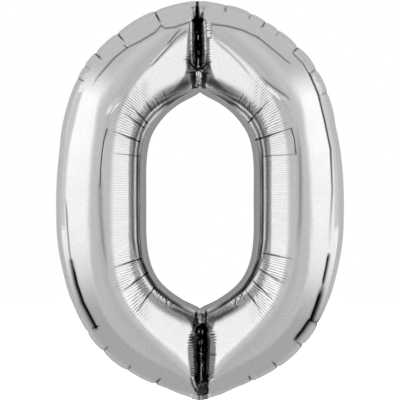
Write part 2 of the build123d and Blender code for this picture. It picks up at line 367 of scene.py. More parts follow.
class Foil:
    """Position-based sheet on the closed grid, kept near the smooth surface."""

    def __init__(self, quarter, rows):
        self.quarter, self.rows, self.turn = quarter, rows, 2 * rows
        X = target(quarter, rows, np.arange(quarter + 1) / quarter)
        slack = 1 + excess(quarter, rows)

        def size(d):
            return np.sqrt((d**2).sum(0))

        def single(values):
            return values.astype(np.float32)
        a = np.roll(X, -1, axis=1) - X
        self.column_len = single(size(a) * slack)
        self.column_len2 = single(size(np.roll(X, -2, axis=1) - X) * slack)
        M = X[:, :, :self.turn]
        b = np.roll(M, -1, axis=2) - M
        self.row_len = single(size(b) * 1.001)
        self.row_len2 = single(size(np.roll(M, -2, axis=2) - M) * 1.001)
        s = slack[:, :self.turn]
        a = a[:, :, :self.turn]
        c = np.roll(b, -1, axis=1)
        self.diagonals = (
            single(np.sqrt(((a * s)**2).sum(0) + (c**2).sum(0) + 2 * (a * c).sum(0) * s)),
            single(np.sqrt(((a * s)**2).sum(0) + (b**2).sum(0) - 2 * (a * b).sum(0) * s)))
        self.target = single(X)
        self.X = self.target.copy()
        self.V = np.zeros_like(self.X)
        hold = ANCHOR + 0.25 * ease(fold_nearness(quarter), 0.84, 0.94)
        self.hold = single(hold[:, None] * np.ones((1, X.shape[2])))

    def constrain(self):
        X, rows, turn = self.X, self.rows, self.turn
        M = X[:, :, :turn]
        by_row = M.swapaxes(1, 2)
        last = X.shape[1] - 1
        pull_ring(X, self.column_len)
        pull_ring(by_row, self.row_len.T)
        for length, near, far in ((self.diagonals[0], 0, 1), (self.diagonals[1], 1, 0)):
            for a in (0, 1):
                A = M[:, a + near:last + near:2, :-1]
                B = M[:, a + far:last + far:2, 1:]
                L = length[a:-1:2, :-1]
                for b in (0, 1):
                    pull(A[:, :, b::2], B[:, :, b::2], L[:, b::2])
            pull(M[:, near:last + near, -1], M[:, far:last + far, 0], length[:-1, -1])
        width = np.float32(MARGIN / MARGIN_ROWS)
        for base, edge in ((turn, 0), (turn + MARGIN_ROWS, rows)):
            inner = X[:, :, edge]
            for f in range(MARGIN_ROWS):
                outer = X[:, :, base + f]
                pull(inner, outer, width)
                diagonal = np.sqrt(width * width + self.column_len[:, edge]**2)[:-1]
                pull(inner[:, :-1], outer[:, 1:], diagonal, 0.5)
                pull(inner[:, 1:], outer[:, :-1], diagonal, 0.5)
                inner = outer
            pull(X[:, :, edge], X[:, :, base + 1], 2 * width, 0.6)
        pull_second(X, self.column_len2)
        for low, high in ((0, rows + 1), (rows, turn)):
            pull_second(by_row[:, low:high], self.row_len2.T[low:high])

    def run(self, steps, pressure):
        rows, turn, half = self.rows, self.turn, 2 * self.quarter
        area = 4 * self.column_len[:, :turn] * self.row_len
        for n in range(steps):
            M = self.X[:, :, :turn]
            N = cross(np.roll(M, -1, 1) - np.roll(M, 1, 1),
                      np.roll(M, -1, 2) - np.roll(M, 1, 2)) / area
            if n == 0:
                outward = -np.sign(N[1, :, rows // 2].mean())
            before = self.X.copy()
            self.V *= DAMPING
            self.V[:, :, :turn] += pressure * outward * N
            self.X += self.V
            self.X += (self.target - self.X) * self.hold
            for _ in range(SWEEPS):
                self.constrain()
            X = self.X
            X[0, 1:half] = np.maximum(X[0, 1:half], FOLD_GAP)
            X[0, half + 1:] = np.minimum(X[0, half + 1:], -FOLD_GAP)
            X[0, 0] = 0
            X[0, half] = 0
            X[1, :, 1:rows] = np.minimum(X[1, :, 1:rows], -HALF_GAP)
            X[1, :, rows + 1:turn] = np.maximum(X[1, :, rows + 1:turn], HALF_GAP)
            self.V = X - before
            np.clip(self.V, -3, 3, out=self.V)

    def sample(self, columns, fractions):
        """Shift off the smooth surface at columns and row fractions, as split() parts."""
        front, rear, hole, outer = split(self.X - self.target, self.rows)
        panels = [cubic(part, fractions * self.rows, 2, False) for part in (front, rear)]
        return [cubic(part, columns, 1, True) for part in (*panels, hole, outer)]


def inflate():
    """Coarse simulation, then a finer one started from it."""
    coarse = Foil(80, 32)
    rng = np.random.default_rng(1)
    coarse.X += rng.normal(0, 0.3, coarse.X.shape).astype(np.float32)
    coarse.run(steps=260, pressure=0.012)
    fine = Foil(160, 64)
    n = fine.rows
    front, rear, hole, outer = coarse.sample(np.arange(4 * fine.quarter) / 2.0,
                                             np.arange(n + 1) / n)
    shift = np.concatenate([front[:, :, :n], rear[:, :, ::-1][:, :, :n], hole, outer], 2)
    rng = np.random.default_rng(3)
    jitter = rng.normal(0, 0.02, shift.shape)
    fine.X = (fine.target + shift + jitter).astype(np.float32)
    fine.run(steps=160, pressure=0.005)
    return fine


# ------------------------------------------------------------------ fine grid
QUARTER = 310            # columns per quarter
FINE_ROWS = 320          # rows while detail is drawn
PANEL_ROWS = 75          # rows of the finished panels
COLUMNS = 4 * QUARTER


def column_fractions():
    """Columns of a quarter, closer together at the fold and the corner."""
    g = np.linspace(0, 1, 2001)
    density = 1 + 0.8 * window(g, 0.12, 0.28, 0.80, 0.95) + 1.0 * (1 - ease(g, 0.0, 0.10))
    total = np.r_[0, np.cumsum((density[1:] + density[:-1]) / 2)]
    out = np.interp(np.arange(QUARTER + 1) / QUARTER, total / total[-1], g)
    out[0], out[-1] = 0, 1
    return out


FRACTIONS = column_fractions()
TURN = np.zeros(COLUMNS)                 # position round the figure, 0..4 quarters
k = np.arange(QUARTER + 1)
TURN[k] = FRACTIONS
TURN[2 * QUARTER - k] = 2 - FRACTIONS
TURN[2 * QUARTER + k] = 2 + FRACTIONS
TURN[(COLUMNS - k) % COLUMNS] = 4 - FRACTIONS
TURN[0] = 0
ACROSS = np.arange(FINE_ROWS + 1) / FINE_ROWS
FROM_FOLD = 1 - np.abs((TURN % 2) - 1)   # 0 at the folds .. 1 at the sides
UPPER, LOWER = (run_length(q)[-1] for q in HOLE_Q)
ROUND = 2 * (UPPER + LOWER)              # length of the hole seam
RUN = np.interp(TURN, range(5), [0, UPPER, UPPER + LOWER, UPPER + 2 * LOWER, ROUND])


def blur(grid, passes, axis, closed=True):
    """Repeated 1-2-1 mean; an open grid keeps its ends on axis 1."""
    for _ in range(passes):
        mean = (np.roll(grid, 1, axis) + np.roll(grid, -1, axis) + 2 * grid) / 4
        if not closed:
            mean[:, [0, -1]] = grid[:, [0, -1]]
        grid = mean
    return grid


def calm(shift):
    """Smooths a panel's shift along the seams and over the inner flank near the folds."""
    seams = np.maximum(ease(ACROSS, 0.90, 0.985), 1 - ease(ACROSS, 0.015, 0.07))
    shift = shift + (blur(shift, 60, 1) - shift) * seams
    inner = window(FROM_FOLD, 0.05, 0.09, 0.32, 0.42)[:, None] * (1 - ease(ACROSS, 0.42, 0.56))
    return shift + (blur(shift, 40, 1) - shift) * inner


parts = list(split(target(QUARTER, FINE_ROWS, FRACTIONS), FINE_ROWS))
film = inflate()
shifts = [s.astype(float) for s in film.sample(TURN * film.quarter, ACROSS)]
for i, shift in enumerate(shifts):
    parts[i] = parts[i] + (calm(shift) if i < 2 else blur(shift, 60, 1))
front, rear, hole_margin, outer_margin = parts


def unit_normals(P, closed=True):
    along = (np.roll(P, -1, 1) - np.roll(P, 1, 1)) if closed else np.gradient(P, axis=1)
    n = cross(along, np.gradient(P, axis=2))
    return n / (np.sqrt((n**2).sum(0)) + 1e-12)


def outward_normals(P):
    """Unit normals of a panel, away from the inside."""
    n = unit_normals(P)
    return n * (1 if n[1].mean() * np.sign(P[1].mean()) > 0 else -1)


# ------------------------------------------------------------------ detail tables
# pleats at the outer edge: outer end (x, z), inner end (x, z), strength
PLEATS = (
    ((-95.688, 401.544), (-83.16, 379.08), 1.0), ((-180.36, 360.72), (-159.84, 338.04), 0.8),
    ((-225.72, 318.6), (-210.6, 299.16), 0.8), ((-252.72, 290.52), (-235.44, 280.8), 0.5),
    ((-264.6, 261.144), (-246.24, 254.88), 0.5), ((55.08, 414.72), (54.864, 402.84), 0.6),
    ((108.864, 400.68), (104.976, 387.72), 0.5), ((143.856, 384.48), (128.52, 368.28), 0.7),
    ((170.424, 366.984), (164.16, 352.08), 0.6), ((212.76, 331.56), (197.424, 314.28), 0.8),
    ((254.016, 281.016), (235.44, 273.24), 0.8), ((274.752, 231.12), (261.36, 226.8), 0.6),
    ((-231.12, -277.56), (-216, -271.08), 0.9), ((-209.52, -327.888), (-196.56, -314.928), 0.7),
    ((-154.224, -366.552), (-149.04, -355.32), 0.6), ((-93.528, -394.2), (-83.16, -383.4), 0.8),
    ((256.176, -267.624), (241.92, -261.576), 0.8),
    ((224.64, -313.848), (206.064, -306.936), 0.7),
    ((165.456, -359.208), (154.44, -347.544), 0.7),
    ((110.16, -389.448), (103.68, -377.784), 0.7))
# sharp radial creases at the hole's corners, same columns
CORNER_CREASES = (
    ((-146.88, 201.96), (-113.184, 165.24), 1), ((-162.864, 186.84), (-119.448, 154.44), 1),
    ((-185.76, 147.96), (-129.6, 125.064), 1.2), ((-187.92, 100.44), (-129.6, 93.96), 0.5),
    ((146.88, 212.76), (103.68, 166.32), 1), ((196.56, 154.44), (119.88, 128.952), 1.2),
    ((207.36, 98.28), (136.08, 93.96), 0.5), ((-183.6, -145.8), (-125.28, -126.36), 1),
    ((-165.24, -196.776), (-112.32, -156.6), 1.1), ((-136.728, -240.84), (-97.2, -187.92), 1.1),
    ((179.28, -180.36), (128.304, -150.12), 1), ((155.52, -214.056), (115.344, -176.04), 1.1),
    ((128.304, -235.44), (104.76, -203.472), 1), ((200.88, -128.52), (136.08, -115.56), 0.8))
# lines: depth (negative stands out), width, darkness of the painted shade, width of the dark
# against the valley's, length share of the fading ends, strength at the start, at the end, (x,
# z)s
LINES = (
    # valleys along the outer wall
    (1.5, 2, 0.45, 0.8, 0.2, 1, 1, [
        (-8.64, 389.88), (-30.24, 381.24), (-54, 372.6), (-75.6, 370.44), (-84.24, 376.92)]),
    (1.5, 2, 0.5, 0.8, 0.2, 1, 1, [
        (-84.24, 376.92), (-97.2, 361.8), (-127.44, 343.44), (-156.6, 329.4),
        (-164.16, 333.72)]),
    (1.5, 2, 0.55, 0.8, 0.5, 1, 0, [
        (-156.6, 329.4), (-183.6, 307.8), (-200.016, 290.52), (-220.32, 266.76),
        (-233.28, 245.16)]),
    (1.4, 2, 0.5, 0.8, 0.2, 1, 1, [
        (25.92, 379.08), (60.48, 374.76), (92.88, 366.12), (125.28, 351)]),
    (1.4, 2, 0.45, 0.8, 0.2, 1, 0, [
        (125.28, 351), (146.88, 333.72), (165.456, 318.6), (198.72, 290.52)]),
    (1.2, 1.3, 0.5, 0.9, 0.2, 1, 1, [
        (201.744, 315.576), (222.48, 294.84), (234.576, 274.536)]),
    (1.3, 2, 0.7, 1, 0.7, 1, 0, [
        (236.52, 273.24), (256.176, 227.88), (270, 171.72), (282.96, 109.08),
        (285.984, 20.52), (278.64, -109.08)]),
    (1.2, 1.5, 0.45, 1, 0.3, 0, 1, [
        (-290.736, 7.56), (-287.28, -55.08), (-282.528, -109.08), (-277.56, -139.32)]),
    (3, 3.6, 0.97, 1.1, 0.25, 0.3, 0.9, [
        (-278.64, -132.84), (-267.84, -182.52), (-253.8, -223.56), (-225.72, -276.48)]),
    (2.4, 3, 0.85, 1, 0.2, 0, 0.2, [
        (279.504, -113.4), (274.32, -143.64), (265.032, -186.84)]),
    (2.8, 3.6, 0.96, 1.35, 0.3, 0.2, 1, [
        (263.52, -193.32), (252.72, -227.88), (240.624, -260.28)]),
    (2.4, 3.2, 0.93, 1.25, 0.2, 1, 0.5, [
        (235.44, -262.44), (221.616, -282.744), (206.496, -301.32)]),
    # crowns of the -X and +X limbs
    (1.6, 1.7, 0.85, 1, 0.3, 0.6, 0, [
        (-200.88, 152.28), (-207.36, 128.52), (-211.68, 100.44), (-214.704, 63.72),
        (-216, 20.52)]),
    (0.8, 3.8, 0.22, 1, 0.4, 0.5, 0, [
        (-216, 31.32), (-214.704, -33.48), (-209.52, -98.28), (-198.72, -163.08)]),
    (0.8, 3.4, 0.26, 1, 0.4, 0, 0, [
        (207.36, 171.72), (214.704, 106.92), (217.08, 42.12), (216, -44.28),
        (209.52, -109.08)]),
    (1.5, 1.6, 0.85, 1, 0.3, 0.7, 0.5, [(197.64, 153.36), (203.904, 130.68), (207.36, 98.28)]),
    # edges of the inner flank
    (0.9, 1.8, 0.5, 0.8, 0.3, 0.6, 0, [
        (-30.24, 363.96), (-49.68, 351), (-69.12, 329.4), (-92.88, 303.48),
        (-116.64, 278.64)]),
    (1.2, 1.8, 0.65, 0.8, 0.4, 0.2, 0, [(-43.2, 368.28), (-58.32, 351), (-73.44, 331.56)]),
    (0.5, 2.4, 0.25, 1, 0.3, 0, 0, [
        (24.84, 351), (56.16, 325.08), (86.4, 294.84), (115.776, 260.28)]),
    (0.9, 2, 0.5, 0.9, 0.4, 0, 0, [
        (127.44, 268.92), (155.52, 245.16), (185.76, 223.56), (198.72, 212.76)]),
    (-2, 3.4, 0, 1, 0.4, 0, 0, [(-206.28, 170.424), (-187.92, 199.8), (-166.968, 224.208)]),
    (-1.8, 3.2, 0, 1, 0.4, 0, 0, [(142.56, 251.64), (166.32, 230.04), (187.92, 204.12)]),
    # slit through the edge, roll ends and neck folds at the top
    (2.5, 1.5, 0.97, 1.1, 0.2, 1, 1, [(-5.616, 428.76), (-5.616, 411.48), (-5.184, 387.72)]),
    (1.2, 1.5, 0.9, 1, 0.2, 0.6, 0.6, [
        (-32.4, 303.48), (-27, 302.4), (-20.52, 297), (-14.04, 288.36), (-6.48, 280.8),
        (-1.08, 280.8), (6.48, 287.28), (14.04, 294.84), (23.328, 298.296)]),
    (0.8, 1.3, 0.85, 1.1, 0.2, 0.5, 0.5, [
        (-28.08, 275.4), (-18.36, 273.24), (-3.24, 278.64), (9.72, 273.24),
        (20.304, 271.944)]),
    (-0.8, 1.3, 0, 1, 0.2, 0.2, 0.2, [(-22.464, 271.08), (-21.6, 258.12), (-20.304, 243)]),
    (-0.8, 1.3, 0, 1, 0.2, 0.2, 0.2, [(16.416, 268.92), (15.984, 255.96), (15.12, 243)]),
    (1.2, 1.2, 0.85, 1, 0.2, 0.6, 0.6, [(-10.8, 242.136), (-4.32, 244.728), (3.024, 248.616)]),
    (1.4, 1.2, 0.85, 1, 0.2, 0.6, 1, [(7.56, 351), (15.12, 349.272), (23.76, 350.136)]),
    (0.8, 1.2, 0.3, 1, 0.2, 0.3, 1, [(25.056, 383.4), (25.056, 366.12), (24.192, 351.864)]),
    # neck and edge folds at the bottom
    (1.6, 2, 0.8, 1.1, 0.2, 0.8, 0.8, [
        (-7.344, -236.52), (-7.776, -251.64), (-5.616, -266.76)]),
    (1.6, 2, 0.8, 1.1, 0.2, 0.8, 0.8, [(12.096, -238.68), (12.528, -253.8), (9.936, -266.76)]),
    (1.8, 1.5, 0.9, 1.1, 0.3, 0.7, 0.5, [
        (-19.872, -385.56), (-15.984, -398.52), (-10.8, -409.32), (0, -425.736)]),
    (-1.6, 1.5, 0, 1, 0.2, 0.6, 0.5, [(-15.984, -385.56), (-11.664, -394.2), (-6.912, -405)]),
    (1.2, 1.3, 0.5, 1, 0.2, 0.5, 0.5, [
        (-8.64, -410.184), (-4.752, -402.84), (-3.024, -396.36)]),
    (-1.4, 1.4, 0, 1, 0.2, 0.5, 0.5, [(10.8, -387.72), (18.576, -384.264), (28.08, -379.944)]),
    (1.2, 1.4, 0.5, 1, 0.2, 0.4, 0.4, [(11.664, -392.04), (19.44, -389.88), (28.08, -383.4)]),
    (1, 1.3, 0.8, 1, 0.2, 0.6, 0.2, [(12.096, -422.712), (19.44, -423.144), (32.4, -420.12)]),
    (1.2, 1.2, 0.75, 1, 0.2, 0.6, 0.6, [(10.8, -331.56), (19.44, -334.368), (34.56, -334.368)]))
# bands of painted shade along the hole seam, some with a shallow valley, drawn on both sides of
# x = 0; same columns
BANDS = (
    (1.2, 3.4, 0.52, 1.1, 0.04, 0.4, 0.4, [
        (-15.12, 230.04), (-45.36, 217.08), (-75.6, 203.04), (-97.2, 187.92),
        (-113.184, 169.56), (-126.144, 143.64), (-133.056, 106.92), (-134.352, -1.08),
        (-133.056, -87.48), (-127.44, -126.36), (-112.32, -160.92), (-92.88, -191.16),
        (-64.8, -214.92), (-30.24, -236.52), (-6.48, -249.48)]),
    (0.4, 3.2, 0.42, 1.1, 0.1, 0.3, 0.3, [
        (-30.24, 240.84), (-62.64, 224.64), (-88.56, 209.52), (-110.16, 190.08),
        (-127.44, 165.24), (-140.4, 130.68), (-145.584, 85.32), (-146.448, -1.08),
        (-144.72, -83.16), (-137.376, -122.04), (-121.824, -156.6), (-101.52, -186.84),
        (-73.44, -214.92)]),
    (0, 4.2, 0.46, 1, 0.3, 1, 0, [
        (-12.96, 242.136), (-43.2, 227.016), (-69.12, 214.056), (-88.56, 201.96)]),
    (0, 4.2, 0.40, 1, 0.3, 1, 0, [
        (-10.8, -251.64), (-34.56, -239.976), (-56.16, -228.744), (-69.12, -221.4)]))
# areas darkened with painted shade: brightness, softness of the edge, outline (x, z)
PATCHES = (
    # beside the necks of the two folds
    (0.55, 1.6, [
        (-29.808, 301.32), (-29.16, 284.04), (-33.48, 268.92), (-39.96, 258.12),
        (-48.6, 245.16), (-64.8, 232.2), (-86.4, 219.24), (-60.48, 230.04), (-34.56, 243),
        (-15.12, 253.8), (-17.28, 277.56), (-21.6, 297)]),
    (0.55, 1.6, [
        (22.248, 297), (24.84, 281.88), (31.32, 264.6), (41.04, 251.64), (50.76, 240.84),
        (69.12, 230.04), (90.72, 219.24), (60.48, 230.04), (32.4, 243), (10.8, 253.8),
        (10.8, 277.56), (14.04, 292.68)]),
    (0.58, 1.6, [
        (-16.2, -277.56), (-21.6, -263.52), (-32.4, -252.72), (-51.84, -243),
        (-69.12, -232.2), (-47.52, -236.52), (-25.92, -247.32), (-8.64, -255.96),
        (-8.64, -273.24)]),
    (0.58, 1.6, [
        (27, -281.88), (32.4, -264.6), (47.52, -253.8), (64.8, -244.08), (86.4, -227.88),
        (60.48, -236.52), (38.88, -247.32), (17.28, -255.96), (16.2, -277.56)]),
    # in the top neck
    (0.42, 0.9, [
        (-19.008, 273.24), (-8.64, 276.48), (-9.504, 258.12), (-9.936, 240.84),
        (-17.28, 238.68), (-18.144, 258.12)]),
    (0.42, 0.9, [
        (2.16, 276.48), (12.96, 273.24), (12.528, 258.12), (12.096, 238.68), (4.32, 240.84),
        (3.456, 258.12)]),
    # at the bottom edge
    (0.34, 1.0, [
        (3.24, -398.52), (12.96, -400.68), (19.44, -408.24), (18.144, -416.88),
        (12.096, -423.576), (3.024, -423.144), (-5.184, -414.504), (-4.32, -405)]),
    (0.62, 0.9, [(-13.824, -387.72), (-1.08, -389.88), (-2.16, -400.68), (-7.776, -398.52)]))
# crumpled spots: centre x, z, half width, half height, number of creases (short valleys with
# painted shade)
CRUMPLES = ((-2.16, 249.48, 9.72, 19.44, 22), (2.16, -251.64, 9.72, 15.12, 18),
            (2.16, -329.4, 12.96, 47.52, 26), (4.32, -407.16, 12.96, 17.28, 30))
# rows of short wrinkles beside the folds' inner ends: x from, to, z from, to, lean
WRINKLES = ((-108, -71.28, 189, 217.08, -1), (75.6, 108, 217.08, 189, 1),
            (-97.2, -56.16, -193.32, -223.56, -1), (64.8, 99.36, -223.56, -193.32, 1))
# painted shade and painted highlights of the top and bottom folds; lengths down from z = 0, then
# x
# slot: down, -X edge of the rolls, -X and +X edge of the core in painted shade, +X edge of the
# rolls
# ridges, crests (painted highlights): strength, where they set in and fade; spots (painted
# highlights): x, down, half sizes
# threads (painted highlights): x, from, to, half width, strength; ribs: down, strength
FOLD_MARKS = (
    dict(slot=[
        (-435.24, -7.56, -6.912, -3.888, -3.456), (-428.76, -7.776, -7.344, -3.888, -3.456),
        (-420.12, -8.856, -8.208, -3.456, -2.592), (-409.32, -11.232, -10.368, -1.728, -1.08),
        (-398.52, -10.8, -9.936, -0.864, 0.432), (-394.2, -12.312, -10.8, 1.296, 3.24),
        (-387.72, -18.36, -15.552, 5.184, 12.96), (-383.4, -22.032, -15.552, 5.616, 14.04),
        (-366.12, -25.92, -15.12, 6.48, 15.12), (-351, -27.216, -15.12, 7.344, 15.552),
        (-347.76, -27.216, -15.12, 7.776, 20.304), (-331.56, -28.08, -14.688, 8.208, 20.736),
        (-309.96, -28.944, -14.688, 8.64, 21.168), (-297, -29.376, -13.392, 6.912, 21.6),
        (-288.36, -28.08, -10.8, 3.024, 22.032), (-281.88, -25.92, -5.184, -2.592, 22.032)],
        seed=5, ridges=(1, -389.88, -383.4, -301.32, -290.52),
        crests=(0.42, -387.72, -379.08, -305.64, -292.68),
        spots=[(-3.888, -288.36, 2.592, 1.512)], loose_spots=4, loose_x=(-3.888, 2.592),
        threads=[(-3.672, -357.48, -342.36, 0.972, 0.6), (-3.672, -307.8, -291.6, 0.972, 0.6)],
        ribs=([-387.72, -372.6, -366.12, -351, -340.2, -322.92, -309.96, -294.84],
              [0, 0.3, 0.9, 0.9, 0.3, 0.5, 0.9, 0.5])),
    dict(slot=[
        (267.84, -8.64, 0, 8.64, 17.28), (273.24, -15.12, -6.48, 15.984, 23.76),
        (281.88, -17.28, -8.64, 19.44, 27), (288.36, -20.304, -9.936, 20.304, 30.24),
        (299.16, -24.624, -9.936, 20.304, 33.696), (320.76, -26.352, -10.8, 19.224, 34.128),
        (346.68, -25.056, -10.8, 18.144, 33.264), (368.28, -22.464, -9.072, 17.28, 31.104),
        (381.24, -20.304, -3.456, 11.664, 28.08), (387.72, -5.184, 0.864, 8.64, 15.12),
        (396.36, -0.864, 0.864, 9.504, 11.232)],
        seed=6, ridges=(0.30, 286.2, 294.84, 372.6, 381.24),
        crests=(0.26, 281.88, 294.84, 368.28, 381.24),
        spots=[
            (-2.592, 284.472, 1.728, 3.024), (5.616, 285.336, 1.296, 3.24),
            (-1.296, 308.664, 1.944, 2.808), (4.32, 306.936, 1.08, 2.592),
            (7.56, 335.88, 1.08, 2.16), (6.048, 355.32, 1.296, 3.456),
            (7.776, 366.12, 1.08, 3.456), (3.024, 387.72, 1.296, 2.592),
            (9.504, 396.36, 1.08, 2.592)],
        loose_spots=22, loose_x=(3.888, 4.752),
        threads=[(2.16, 316.44, 386.64, 1.188, 0.85)],
        ribs=([277.56, 288.36, 320.76, 329.4, 355.32, 363.96, 381.24, 385.56],
              [0, 1.2, 1.2, 0.2, 0.3, 0.9, 0.9, 0])))


# ------------------------------------------------------------------ fine film detail
def seen(P):
    """Panel moved onto the plane of the seams along the camera's lines of sight."""
    sight = 1000 * CAMERA_DISTANCE
    scale = sight / (sight - np.abs(P[1]))
    return np.stack([P[0] * scale, P[1], P[2] * scale])


def to_segment(x, z, start, end):
    """Distance to a segment and the place 0..1 along it."""
    dx, dz = end - start
    along = np.clip(((x - start[0]) * dx + (z - start[1]) * dz) / (dx**2 + dz**2), 0, 1)
    return np.hypot(x - start[0] - along * dx, z - start[1] - along * dz), along


class Relief:
    """Offset along the normal, painted shade (tone), rib mask and painted highlights of a panel,
    built up mark by mark.
    """

    def __init__(self, x, z):
        self.x, self.z = x, z
        self.offset = np.zeros(x.shape)
        self.tone = np.ones(x.shape)
        self.rib = np.zeros(x.shape)
        self.painted_highlight = np.zeros(x.shape)

    def near(self, path, reach):
        (x0, z0), (x1, z1) = path.min(0) - reach, path.max(0) + reach
        return (self.x > x0) & (self.x < x1) & (self.z > z0) & (self.z < z1)

    def line(self, points, depth, width, dark, shade, ends, start, end):
        """Valley with a slight lip and painted shade along it; the arguments are the columns of
        LINES.
        """
        path = np.array(points, float)
        sel = self.near(path, 4 * max(width, 3))
        x, z = self.x[sel], self.z[sel]
        best = np.full(x.shape, 1e9)
        place = np.zeros(x.shape)
        lengths = np.linalg.norm(np.diff(path, axis=0), axis=1)
        run = 0.0
        for a, b, length in zip(path[:-1], path[1:], lengths):
            distance, along = to_segment(x, z, a, b)
            closer = distance < best
            best = np.where(closer, distance, best)
            place = np.where(closer, (run + along * length) / lengths.sum(), place)
            run += length
        fade = ((start + (1 - start) * ease(place, 0, ends))
                * (end + (1 - end) * ease(1 - place, 0, ends)))
        valley = (np.exp(-(best / width)**1.4)
                  - 0.18 * np.exp(-((best - 2.4 * width) / width)**2))
        self.offset[sel] -= depth * valley * fade
        # darkness of the valley: painted shade multiplied into tone
        shadow = np.exp(-(best / (width * shade))**2) * np.sqrt(fade)
        self.tone[sel] *= (1 - min(dark, 0.97) * shadow)**2.2

    def fill(self, points, level, soft):
        """Area inside a closed outline darkened to level with painted shade."""
        path = np.array(points, float)
        sel = self.near(path, 4 * soft + 2)
        x, z = self.x[sel], self.z[sel]
        best = np.full(x.shape, 1e9)
        inside = np.zeros(x.shape, bool)
        for a, b in zip(path, np.roll(path, -1, 0)):
            best = np.minimum(best, to_segment(x, z, a, b)[0])
            slant = (b[0] - a[0]) * (z - a[1]) / (b[1] - a[1] + 1e-12) + a[0]
            inside ^= ((a[1] > z) != (b[1] > z)) & (x < slant)
        weight = ease(np.where(inside, best, -best), -soft, soft)
        self.tone[sel] *= (1 - (1 - level) * weight)**2.2


def draw_lines(relief):
    # pleats, lines, creases, bands, crumples and wrinkles: valleys, and ridges where the depth
    # is negative, with painted shade in the valleys; the patches are painted shade only
    for a, b, strength in PLEATS:
        inner = np.array(a) + 0.8 * (np.array(b) - a)
        relief.line([a, inner], depth=1.8 * strength, width=1.6, dark=0.9 * strength,
                    shade=1.0, ends=0.5, start=1, end=0.1)
    for *shape, points in LINES:
        relief.line(points, *shape)
    for a, b, strength in CORNER_CREASES:
        relief.line([a, b], depth=1.15 * strength, width=1.25, dark=0.85 * strength,
                    shade=1.0, ends=0.6, start=0.1, end=0.9)
    for *shape, points in BANDS:
        for side in (1, -1):
            relief.line([(side * x, z) for x, z in points], *shape)
    for level, soft, points in PATCHES:
        relief.fill(points, level, soft)
    rng = np.random.default_rng(77)
    for centre_x, centre_z, half_w, half_h, count in CRUMPLES:
        for _ in range(count):
            x = centre_x + rng.uniform(-half_w, half_w)
            z = centre_z - rng.uniform(-half_h, half_h)
            angle = rng.uniform(0, np.pi)
            length = rng.uniform(2.592, 7.344)
            relief.line([(x, z), (x + length * np.cos(angle), z - length * np.sin(angle))],
                        depth=rng.uniform(-1.2, 1.4), width=rng.uniform(1.0, 1.7),
                        dark=rng.uniform(0, 0.5), shade=1.0, ends=0.2, start=0.5, end=0.5)
    rng = np.random.default_rng(21)
    count = 8
    for x0, x1, z0, z1, lean in WRINKLES:
        for i in range(count):
            f = (i + rng.uniform(0.2, 0.8)) / count
            x = x0 + (x1 - x0) * f
            z = z0 + (z1 - z0) * f
            length = rng.uniform(10.8, 23.76)
            slant = rng.uniform(-0.3, 0.9) * lean
            relief.line([(x, z), (x + slant * length, z + np.sign(z0) * length)],
                        depth=rng.uniform(0.5, 0.9), width=rng.uniform(0.8, 1.1),
                        dark=rng.uniform(0.4, 0.75), shade=1.0, ends=0.5, start=0.8, end=0)


def draw_ripples(relief, P, seed):
    """Fine radial ripples beside the hole seam."""
    rng = np.random.default_rng(seed)
    q = P[[0, 2]]
    H = q[:, :, 0]
    span = q[:, :, -1] - H
    across = ((q - H[:, :, None]) * span[:, :, None]).sum(0) / (span**2).sum(0)[:, None]
    T = np.roll(H, -1, 1) - np.roll(H, 1, 1)
    T /= np.linalg.norm(T, axis=0)
    best = np.full(P.shape[1:], 1e9)
    run = np.zeros(P.shape[1:])
    for shift in range(-150, 151, 2):
        d = q - np.roll(H, -shift, 1)[:, :, None]
        along = (d * np.roll(T, -shift, 1)[:, :, None]).sum(0)
        distance = (d**2).sum(0)
        closer = distance < best
        at = np.roll(RUN, -shift)
        at = np.where(at - RUN > ROUND / 2, at - ROUND,
                      np.where(at - RUN < -ROUND / 2, at + ROUND, at))
        best = np.where(closer, distance, best)
        run = np.where(closer, at[:, None] + along, run)

    def round_seam(values):
        return np.interp(RUN, np.linspace(0, ROUND, len(values)), values)
    knots = np.cumsum(rng.uniform(0.82, 1.18, 200))
    knots -= knots[0]
    warp = np.interp(run % ROUND, np.linspace(0, ROUND, 200), knots)
    relief.phase = 2 * np.pi * warp / knots[-1] * round(ROUND / 3.7)
    strength = round_seam(rng.uniform(0.35, 1.0, 420))
    corner = window(FROM_FOLD, 0.36, 0.44, 0.62, 0.82)
    reach = (0.44 + 0.06 * corner + round_seam(rng.uniform(-0.04, 0.04, 160)))[:, None]
    height = (0.11 * corner + 0.05 * ease(FROM_FOLD, 0.6, 0.8)) * strength
    envelope = window(across, 0.08, 0.18, reach - 0.12, reach)
    fine = (ease(FROM_FOLD, 0.34, 0.44) * (1 - 0.72 * ease(FROM_FOLD, 0.62, 0.78)) * strength)
    relief.offset += 0.45 * height[:, None] * np.sin(relief.phase) * envelope
    relief.ripple = fine[:, None] * envelope


